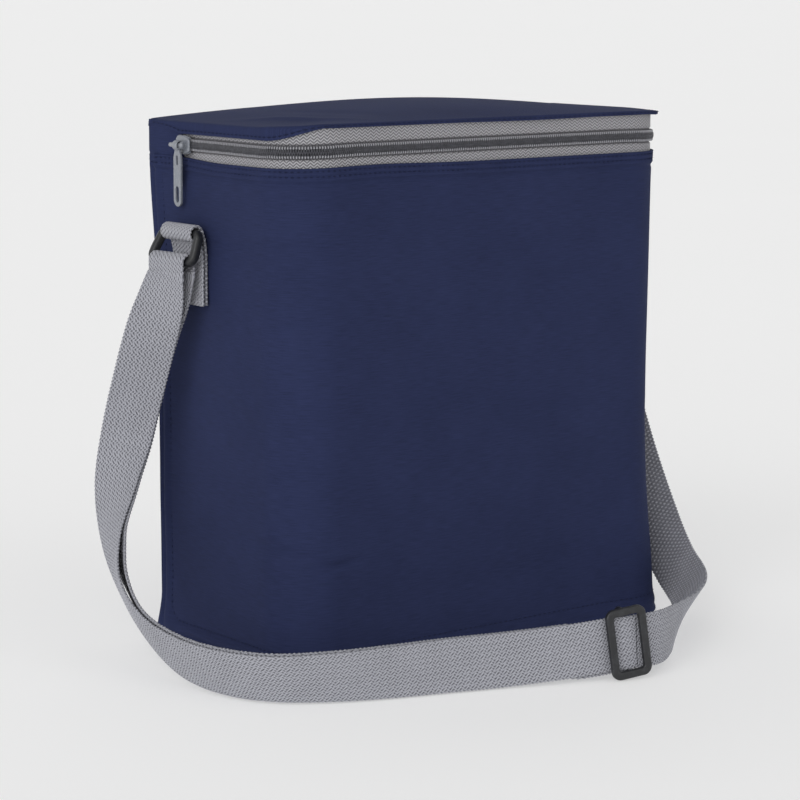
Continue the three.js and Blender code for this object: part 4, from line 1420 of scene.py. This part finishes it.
lid_cloth, lid_threads = lid()
finish_piece(lid_cloth, nodes=["lid_panel", "rear_lid_panel"])
lid_stitches = lid_threads.build("lid_stitches", NAVY_THREAD)
finish_piece(lid_stitches)
for piece in (lid_cloth, lid_stitches):
    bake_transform(piece)


# ---------------------------------------------------------------- gussets behind the zip's ends

def gusset(side):
    s = np.linspace(0.2, walk_to(FOLD_Y - 3.0), 30)
    if side > 0:
        s = WALK - s
    share = np.linspace(0, 1, 26)[:, None]
    z = 231.0 + (lid_hem(s)[None] + 1.3 - 231.0) * share
    x, y, nx, ny = plan(s)
    d = 0.1 + 0.3 * bell(z, 238, 4) * np.sin(s / 7.0)[None]
    d = d - 0.25 * bell(z, body_hem(s)[None] + 0.5, 0.8)
    d = d - 0.5 * smoothstep(17, 22, np.minimum(s, WALK - s))[None]
    outer = ears(np.stack([x + nx * d, y + ny * d, z], -1))
    inner = outer - level(nx, ny)[None] * 0.7
    name = "gusset_" + ("left", "right")[side > 0]
    cloth = sheet_piece(name + "_cloth", NAVY, outer, inner, lay_grid(s[None], z), 70,
                        flip=side > 0)
    finish_piece(cloth, "root", [name])
    return cloth, float(np.ptp(s)), float(np.mean(z[-1] - z[0]))


gussets = [gusset(-1), gusset(1)]


# ---------------------------------------------------------------- zip

ZIP_START = walk_to(31.5)
ZIP_STOP = walk_to(31.5, 1)


def zip_line(s):
    """Height of the zip's middle line."""
    front = smoothstep(106, 142, s) * (1 - smoothstep(WALK - 142, WALK - 106, s))
    return 239.8 + 0.6 * front - 0.15 * bell(s, 84, 16)


def zip_bulge(s):
    """How far the zip stands out from the plan: it follows the top of the wall in part."""
    return wall_shape(s, np.full_like(s, 222.0)) * 0.6


def tape(name, upper, nodes, body):
    s = np.arange(ZIP_START, ZIP_STOP, 0.36)
    x, y, nx, ny = plan(s)
    if upper:
        low, high = zip_line(s) + 0.9, np.minimum(lid_hem(s) + 1.2, lid_rim(x, y) - 1.2)
    else:
        low, high = np.full_like(s, 229.5), zip_line(s) - 0.9
    share = np.linspace(0, 1, 34)[:, None]
    z = low[None] + (high - low)[None] * share
    from_middle = z - zip_line(s)[None]
    inset = 0.75 + 0.25 * smoothstep(0, 3.0, np.abs(from_middle) - 1.5)
    if not upper:
        inset = inset + 0.35 * smoothstep(0, 2.5, body_hem(s)[None] + 0.8 - z)
    else:
        inset = inset + 0.15 * smoothstep(0, 2.0, z - lid_hem(s)[None])
    zig = np.abs((s[None] + CHEVRON) % (2 * CHEVRON) - CHEVRON)
    rib = np.sin(2 * math.pi * (from_middle + zig * CHEVRON_SLANT) / TAPE_RIB)
    inset = inset + 0.8 * bell(np.abs(from_middle), 3.1, 0.5)
    d = zip_bulge(s)[None] - inset + 0.17 * rib
    outer = np.stack([x + nx * d, y + ny * d, z], -1)
    flat = zip_bulge(s)[None] - inset - 0.5
    inner = np.stack([x + nx * flat, y + ny * flat, z], -1)
    lay = lay_grid(from_middle, s[None] + 0 * z)
    cloth = sheet_piece(name, TAPE, outer, inner, lay, 75, (0, 0, 0.1))
    finish_piece(cloth, body, nodes)
    return cloth, float(np.mean(high - low))


upper_tape = tape("zip_tape_upper_cloth", True, ["zip_tape_upper"], "lid")
lower_tape = tape("zip_tape_lower_cloth", False, ["zip_tape_lower"], "root")


def zip_frame(s):
    x, y, nx, ny = plan(s)
    d = zip_bulge(s)
    return np.stack([x + nx * d, y + ny * d, zip_line(s)], -1), level(nx, ny)


def coil(upper):
    """Half of the coil: bent nylon loops side by side, on a core cord, with the ribbed edge
    of the tape beside them."""
    side = 1 if upper else -1
    pitch = 1.15
    marks = np.arange(ZIP_START + 1.5, ZIP_STOP - 1.5, pitch)
    if upper:
        marks = marks + pitch / 2
    pile = Pile()
    middle, out = zip_frame(marks)
    along = np.cross(UP, out)
    # one loop: out from under the edge, round the head just past the middle, and back under
    loop = np.array([
        (1.45, 0.15, -0.2), (0.9, 0.42, -0.14), (0.2, 0.5, -0.06), (-0.28, 0.28, 0.0),
        (-0.34, -0.08, 0.06), (-0.1, -0.38, 0.14), (0.9, -0.42, 0.2),
    ])
    sides = 6
    turn = np.arange(sides) / sides * 2 * math.pi
    path = (
        middle[:, None] + loop[None, :, :1] * side * UP[None, None]
        + out[:, None] * loop[None, :, 1:2] + along[:, None] * loop[None, :, 2:3]
    )
    tangent = np.gradient(path, axis=1)
    tangent /= np.linalg.norm(tangent, axis=-1, keepdims=True)
    u = along[:, None] - (along[:, None] * tangent).sum(-1, keepdims=True) * tangent
    u /= np.linalg.norm(u, axis=-1, keepdims=True)
    v = np.cross(tangent, u)
    verts = path[:, :, None] + 0.33 * (
        u[:, :, None] * np.cos(turn)[None, None, :, None] * 1.15
        + v[:, :, None] * np.sin(turn)[None, None, :, None]
    )
    steps = len(loop)
    quads = grid_quads(steps, sides, wrap_cols=True)[:, ::-1]
    base = np.arange(len(marks))[:, None, None] * steps * sides
    pile.add(verts.reshape(-1, 3), (quads[None] + base).reshape(-1, 4))
    name = "zip_coil_" + ("upper" if upper else "lower")
    body = "lid" if upper else "root"
    node = "zip_teeth_upper" if upper else "zip_teeth_lower"
    finish_piece(pile.build(name, COIL, 60), body, [node])
    # ribbed edge: the stitches that bind the coil to its tape, side by side over a cord
    marks = np.arange(ZIP_START + 0.5, ZIP_STOP - 0.5, 1.3)
    middle, out = zip_frame(marks)
    along = np.cross(UP[None], out)
    pile = Pile()
    ball_a = np.linspace(-math.pi / 2, math.pi / 2, 6)[1:-1]
    ball_b = np.arange(8) / 8 * 2 * math.pi
    ball = np.stack([
        (np.cos(ball_a)[:, None] * np.cos(ball_b)[None]),
        (np.cos(ball_a)[:, None] * np.sin(ball_b)[None]),
        np.sin(ball_a)[:, None] + 0 * ball_b[None],
    ], -1)
    centre = middle + UP * side * 1.98 - out * 0.3
    verts = (
        centre[:, None, None] + UP * ball[None, ..., 2:] * 0.85
        + out[:, None, None] * ball[None, ..., :1] * 0.78
        + along[:, None, None] * ball[None, ..., 1:2] * 0.46
    )
    base = np.arange(len(marks))[:, None, None] * 32
    quads = grid_quads(4, 8, wrap_cols=True)
    caps = np.array([(0, 3, 2, 1), (0, 5, 4, 3), (0, 7, 6, 5),
                     (24, 25, 26, 27), (24, 27, 28, 29), (24, 29, 30, 31)])
    quads = np.concatenate([quads, caps])
    pile.add(verts.reshape(-1, 3), (quads[None] + base).reshape(-1, 4))
    finish_piece(pile.build(name + "_edge", BINDING, 60), body)
    pile = Pile()
    s = np.arange(ZIP_START, ZIP_STOP, 0.8)
    middle, out = zip_frame(s)
    tube(pile, middle + UP * side * 1.9 - out * 0.45, 0.7, 8, side=out)
    finish_piece(pile.build(name + "_cord", COIL, 60), body)


coil(True)
coil(False)


def slider():
    """Two plates round the coil, their turned edges, and two lugs in front that hold a pin."""
    plate_middle = 116.75
    outline = [
        (5.5, 2.6), (4.2, 4.1), (1.6, 4.4), (-1.6, 4.0), (-4.3, 3.3), (-5.5, 2.2),
        (-5.5, -2.2), (-4.3, -3.3), (-1.6, -4.0), (1.6, -4.4), (4.2, -4.1), (5.5, -2.6),
    ]
    outline = inset_outline(np.array(outline), 0.4)
    # flat pieces are drawn along -y and up, with their faces out from the bag's left side
    front = extruded("zip_slider_plate", outline, [], 1.1, 0.4, PAINT,
                     matrix((0, 1, 0), (0, 0, 1), (1, 0, 0), (-plate_middle, SLIDER_Y, SLIDER_Z)))
    parts = [extruded(
        "zip_slider_back", outline, [], 1.0, 0.35, PAINT,
        matrix((0, 1, 0), (0, 0, 1), (1, 0, 0), (-112.7, SLIDER_Y, SLIDER_Z)))]
    for end in (-1, 1):
        arch = [(-1.0, -2.0), (1.6, -1.9), (3.2, -1.2), (3.9, 0.0),
                (3.2, 1.2), (1.6, 1.9), (-1.0, 2.0)]
        arch = inset_outline(np.array(arch), 0.35)
        parts.append(extruded(
            "zip_slider_lug_" + ("front", "rear")[end > 0], arch, [], 1.6, 0.35, PAINT,
            matrix((-1, 0, 0), (0, 0, 1), (0, 1, 0), (-117.2, SLIDER_Y + 3 * end, SLIDER_Z))))
    pile = Pile()
    y = np.array([-4.68, -4.66, -4.55, -4.35, -4.1, 6.1, 6.35, 6.55, 6.66, 6.68])
    radius = np.array([0.15, 0.45, 0.8, 1.02, 1.1, 1.1, 1.02, 0.8, 0.45, 0.15])
    path = np.stack([np.full(10, -PIN_OUT), SLIDER_Y + y, np.full(10, SLIDER_Z)], -1)
    tube(pile, path, radius, 16)
    parts.append(pile.build("zip_slider_pin", PAINT, 50))
    for edge in (-1, 1):
        pile = Pile()
        y = np.linspace(-4.6, 4.4, 9)
        z = SLIDER_Z + edge * np.interp(y, [-4.6, 0, 4.4], [3.1, 3.9, 3.9])
        path = np.stack([np.full(9, -115.9), SLIDER_Y + y, z], -1)
        tube(pile, path, 0.62, 10)
        parts.append(pile.build("zip_slider_flange_" + ("low", "high")[edge > 0], PAINT, 50))
    finish_piece(front, "slider", ["zip_slider"])
    for part in parts:
        finish_piece(part, "slider")


slider()


def pull():
    """A stamped pull: a neck with its eye round the pin, a long blade with two slots."""
    right = [
        (1.9, 0.6), (1.9, -2.4), (2.1, -3.4), (2.6, -4.6), (2.95, -6.2), (3.0, -8.0),
        (3.0, -25.4),
    ]
    end = [(3 * math.cos(a), -26 + 3 * math.sin(a)) for a in np.linspace(0, -math.pi, 17)[1:-1]]
    outline = np.array([(-x, y) for x, y in right] + end[::-1] + right[::-1])
    slots = []
    for low, high, half in ((-25.7, -20.7, 1.3), (-8.6, -5.6, 0.75)):
        top = [(half * math.cos(a), high + half * math.sin(a)) for a in np.linspace(0, math.pi, 9)]
        foot = [(half * math.cos(a), low + half * math.sin(a))
                for a in np.linspace(math.pi, 2 * math.pi, 9)]
        slots.append(inset_outline(np.array(top + foot)[::-1], 0.35))
    tilt, skew = math.radians(4), math.radians(6.5)
    face = Vector((-math.cos(tilt), 0, -math.sin(tilt)))
    up = Vector((-math.sin(tilt) * math.cos(skew), -math.sin(skew),
                 math.cos(tilt) * math.cos(skew)))
    side = up.cross(face)
    blade = extruded("zip_pull_blade", inset_outline(outline, 0.35), slots, 1.4, 0.35, PAINT,
                     matrix(side, up, face, (-PIN_OUT, SLIDER_Y, SLIDER_Z)))
    finish_piece(blade, "pull", ["zip_pull"])
    pile = Pile()
    a = np.linspace(0, 2 * math.pi, 24, endpoint=False)
    out = np.stack([np.cos(a), 0 * a, np.sin(a)], -1)
    path = np.array([-PIN_OUT, SLIDER_Y, SLIDER_Z]) + 1.95 * out
    profile_a = np.arange(12) / 12 * 2 * math.pi
    y_axis = np.tile((0.0, 1.0, 0.0), (24, 1))
    profile = np.stack([np.sign(np.cos(profile_a)) * np.abs(np.cos(profile_a)) ** 0.5 * 1.9,
                        np.sin(profile_a) * 0.5], -1)
    sweep(pile, path, y_axis, out, profile, closed=True)
    finish_piece(pile.build("zip_pull_eye", PAINT, 50), "pull")


pull()


# ---------------------------------------------------------------- tabs

def tab(side):
    wall = HALF_W + 1.0
    line = [(wall, 166.5), (wall, 178.0), (wall, 188.0), (wall + 0.2, 192.0), (wall + 0.9, 197.0)]
    for a in np.linspace(math.radians(165), math.radians(-115), 16):
        line.append((TAB_AXIS[0] + LOOP_R * math.cos(a), TAB_AXIS[1] + LOOP_R * math.sin(a)))
    line += [(wall + 2.5, 193.5), (wall + 1.75, 189.0), (wall + 1.75, 178.0), (wall + 1.75, 165.9)]
    line = np.array(line)
    station = np.linspace(0, len(line) - 1, 700)
    smooth = catmull_rom(np.column_stack([line, np.zeros(len(line))]), station)[:, :2]
    reach = np.concatenate([[0], np.cumsum(np.linalg.norm(np.diff(smooth, axis=0), axis=1))])
    marks = np.arange(0, reach[-1], STEP)
    out = np.interp(marks, reach, smooth[:, 0])
    z = np.interp(marks, reach, smooth[:, 1])
    place = np.stack([side * out, np.full_like(out, TAB_Y), z], -1)
    across, normal = frames_from_line(place, np.tile((0.0, float(side), 0.0), (len(place), 1)))
    name = "tab_" + ("left", "right")[side > 0]
    piece = web(name + "_webbing", place, across, normal, marks, face=-1)
    finish_piece(piece, "root", [name])
    threads = Pile()
    face = wall + 1.75 + WEB_T / 2 + 0.1
    low, high, half = 168.4, 184.6, 10.6
    box = [(-half, low), (half, low), (half, high), (-half, high), (-half, low)]
    cross = [(-half, low), (half, high)], [(half, low), (-half, high)]
    for lines in (box, *cross):
        for (a, b), (c, d) in zip(lines[:-1], lines[1:]):
            t = np.linspace(0, 1, 40)
            line = np.stack(
                [np.full(40, side * face), TAB_Y + a + (c - a) * t, b + (d - b) * t], -1)
            stitch_row(threads, line, np.tile((float(side), 0.0, 0.0), (40, 1)), 2.4, 1.8, 0.26)
    finish_piece(threads.build(name + "_stitches", GREY_THREAD), "root")


tab(-1)
tab(1)


# ---------------------------------------------------------------- foam and foil inside

def wall_layer(name, material, node, inset, thick, low, high, ripple, crinkle):
    s = np.linspace(1.5, WALK - 1.5, 300)
    z = np.linspace(low, high, 110)[:, None] + 0 * s[None]
    x, y, nx, ny = plan(s)
    base = wall_shape(s[None], z)
    keep = np.minimum(base, 0.4 * base) - inset
    d = keep - ripple * (0.5 + 0.5 * np.sin(s[None] / 17.0 + z / 31.0))
    inner_d = d - thick - crinkle * np.abs(clouds(s[None] * 3.1, z * 3.3))
    outer = np.stack([x + nx * d, y + ny * d, z], -1)
    inner = np.stack([x + nx * inner_d, y + ny * inner_d, z], -1)
    piece = sheet_piece(name, material, outer, inner, lay_grid(s[None], z), 60,
                        (0, 0, min(0.3, thick / 2)))
    finish_piece(piece, "root", [node])
    return piece


def flat_wall(name, material, node, y_face, thick, low, high, half_width, crinkle):
    """A layer of the back, as an upright sheet."""
    u = np.linspace(-half_width, half_width, 160)
    z = np.linspace(low, high, 110)[:, None] + 0 * u[None]
    outer_y = y_face + 0 * z
    inner_y = outer_y - thick - crinkle * np.abs(clouds(u[None] * 3.1 + 70, z * 3.3))
    outer = np.stack(np.broadcast_arrays(u[None], outer_y, z), -1)
    inner = np.stack(np.broadcast_arrays(u[None], inner_y, z), -1)
    piece = sheet_piece(name, material, outer, inner, lay_grid(u[None] + 700, z), 60,
                        (0, 0, min(0.3, thick / 2)), flip=True)
    finish_piece(piece, "root", [node])
    return piece


wall_foam = wall_layer("wall_foam_board", FOAM, "wall_foam",
                       1.1, 3.0, 1.2, 227.5, 0.0, 0.0)
back_foam = flat_wall("back_foam_board", FOAM, "back_foam",
                      56.2, 3.0, 1.2, 232.8, 110.2, 0.0)
base_foam = plate("base_foam_board", FOAM, 1.15, 4.05, 4.3, 4000)
finish_piece(base_foam, "root", ["base_foam"])
wall_foil = wall_layer("wall_foil", FOIL, "wall_lining",
                       4.5, 0.35, 4.6, 232.6, 0.0, 0.35)
back_foil = flat_wall("back_foil", FOIL, "back_lining",
                      52.9, 0.35, 4.6, 246.0, 109.0, 0.35)
base_foil = plate("base_foil", FOIL, 4.4, 4.85, 5.2, 5000,
                  dent=lambda x, y, sign: 0.3 * (sign > 0) * np.abs(clouds(x * 3, y * 3)))
finish_piece(base_foil, "root", ["base_lining"])


def lid_layer(name, material, nodes, inset, high, low):
    piece = plate(
        name, material, lambda x, y: lid_top(x, y) - low - edge_drop(x, y),
        lambda x, y: lid_top(x, y) - high - edge_drop(x, y), inset, 6000, 0.6, 34,
    )
    finish_piece(piece, nodes=nodes)
    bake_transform(piece)
    return piece


def edge_drop(x, y):
    """The lid's layers hang a little lower near the rim, inside its turned edge."""
    u, v = np.abs(x) / HALF_W, np.abs(y) / HALF_D
    return 1.2 * smoothstep(0.8, 1.0, np.maximum(u, v))


lid_foam = lid_layer("lid_foam_board", FOAM,
                     ["lid_foam", "rear_lid_foam"], 3.2, 1.2, 4.2)
lid_foil = lid_layer("lid_foil", FOIL,
                     ["lid_lining", "rear_lid_lining"], 3.6, 4.6, 5.0)


# ---------------------------------------------------------------- cut sizes of the cloth and foil pieces; cut() does nothing with them

def cut(piece, width, length, rests_on, area=None):
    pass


PLAN_AREA = 4 * HALF_W * HALF_D - (2 - math.pi / 2) * FRONT_R ** 2
cut(shell_cloth, WALK, 238.0, [wall_foam])
cut(back_cloth, 2 * (HALF_W - BACK_R + BACK_ARC), 253.0, [back_foam])
cut(base_cloth, 2 * HALF_W - 3, 2 * HALF_D - 3, [base_foam], PLAN_AREA - 900)
cut(lid_cloth, 2 * HALF_W + 12, 2 * HALF_D + 12, [lid_foam])
cut(wall_foil, WALK - 10, 228.0, [wall_foam])
cut(back_foil, 218.0, 241.5, [back_foam])
cut(base_foil, 2 * HALF_W - 10, 2 * HALF_D - 10, [base_foam], PLAN_AREA - 3400)
cut(lid_foil, 2 * HALF_W - 7, 2 * HALF_D - 7, [lid_foam], PLAN_AREA - 2400)
for tape_cloth, tape_width in (upper_tape, lower_tape):
    cut(tape_cloth, ZIP_STOP - ZIP_START, max(tape_width, 10.5), [])
for gusset_cloth, gusset_width, gusset_height in gussets:
    cut(gusset_cloth, gusset_width, gusset_height, [])


# ---------------------------------------------------------------- light and floor

def light_and_floor():
    pile = Pile()
    reach = 60000.0
    pile.add([(-reach, -reach, 0), (reach, -reach, 0), (reach, reach, 0), (-reach, reach, 0)],
             [(0, 1, 2, 3)])
    s = Shader("floor", Roughness=0.85, Specular_IOR_Level=0.1,
               Emission_Color=(1, 1, 1, 1), Emission_Strength=0.378)
    s.colour(s.mix(s.noise(0.002, 2, 0.5), (0.60, 0.60, 0.60, 1), (0.615, 0.615, 0.615, 1)))
    floor = pile.build("floor", s.material)
    floor.location.z = -0.0002
    world = bpy.data.worlds.new("world")
    world.use_nodes = True
    sky = world.node_tree
    place = sky.nodes.new("ShaderNodeTexCoord")
    split = sky.nodes.new("ShaderNodeSeparateXYZ")
    fade = sky.nodes.new("ShaderNodeMapRange")
    sky.links.new(place.outputs["Generated"], split.inputs[0])
    sky.links.new(split.outputs[2], fade.inputs["Value"])
    for name, number in (
        ("From Min", 0.0), ("From Max", 0.9), ("To Min", 0.92), ("To Max", 0.32),
    ):
        fade.inputs[name].default_value = number
    sky.links.new(fade.outputs[0], sky.nodes["Background"].inputs[1])
    sky.nodes["Background"].inputs[0].default_value = (1.0, 1.0, 1.0, 1)
    bpy.context.scene.world = world
    for name, toward, energy, angle in (
        ("key", (-1.0, -0.5, 0.42), 1.5, 55),
        ("fill", (0.25, -1.0, 0.5), 0.22, 60),
        ("rear", (0.3, 1.0, 0.7), 0.3, 60),
    ):
        data = bpy.data.lights.new(name, "SUN")
        data.energy = energy
        data.angle = math.radians(angle)
        lamp = bpy.data.objects.new(name, data)
        lamp.rotation_euler = Vector(toward).to_track_quat("Z", "Y").to_euler()
        bpy.context.scene.collection.objects.link(lamp)
    bpy.context.scene.view_settings.view_transform = "Standard"


light_and_floor()


def corners(bounds):
    return [[float(v) for v in corner] for corner in bounds]
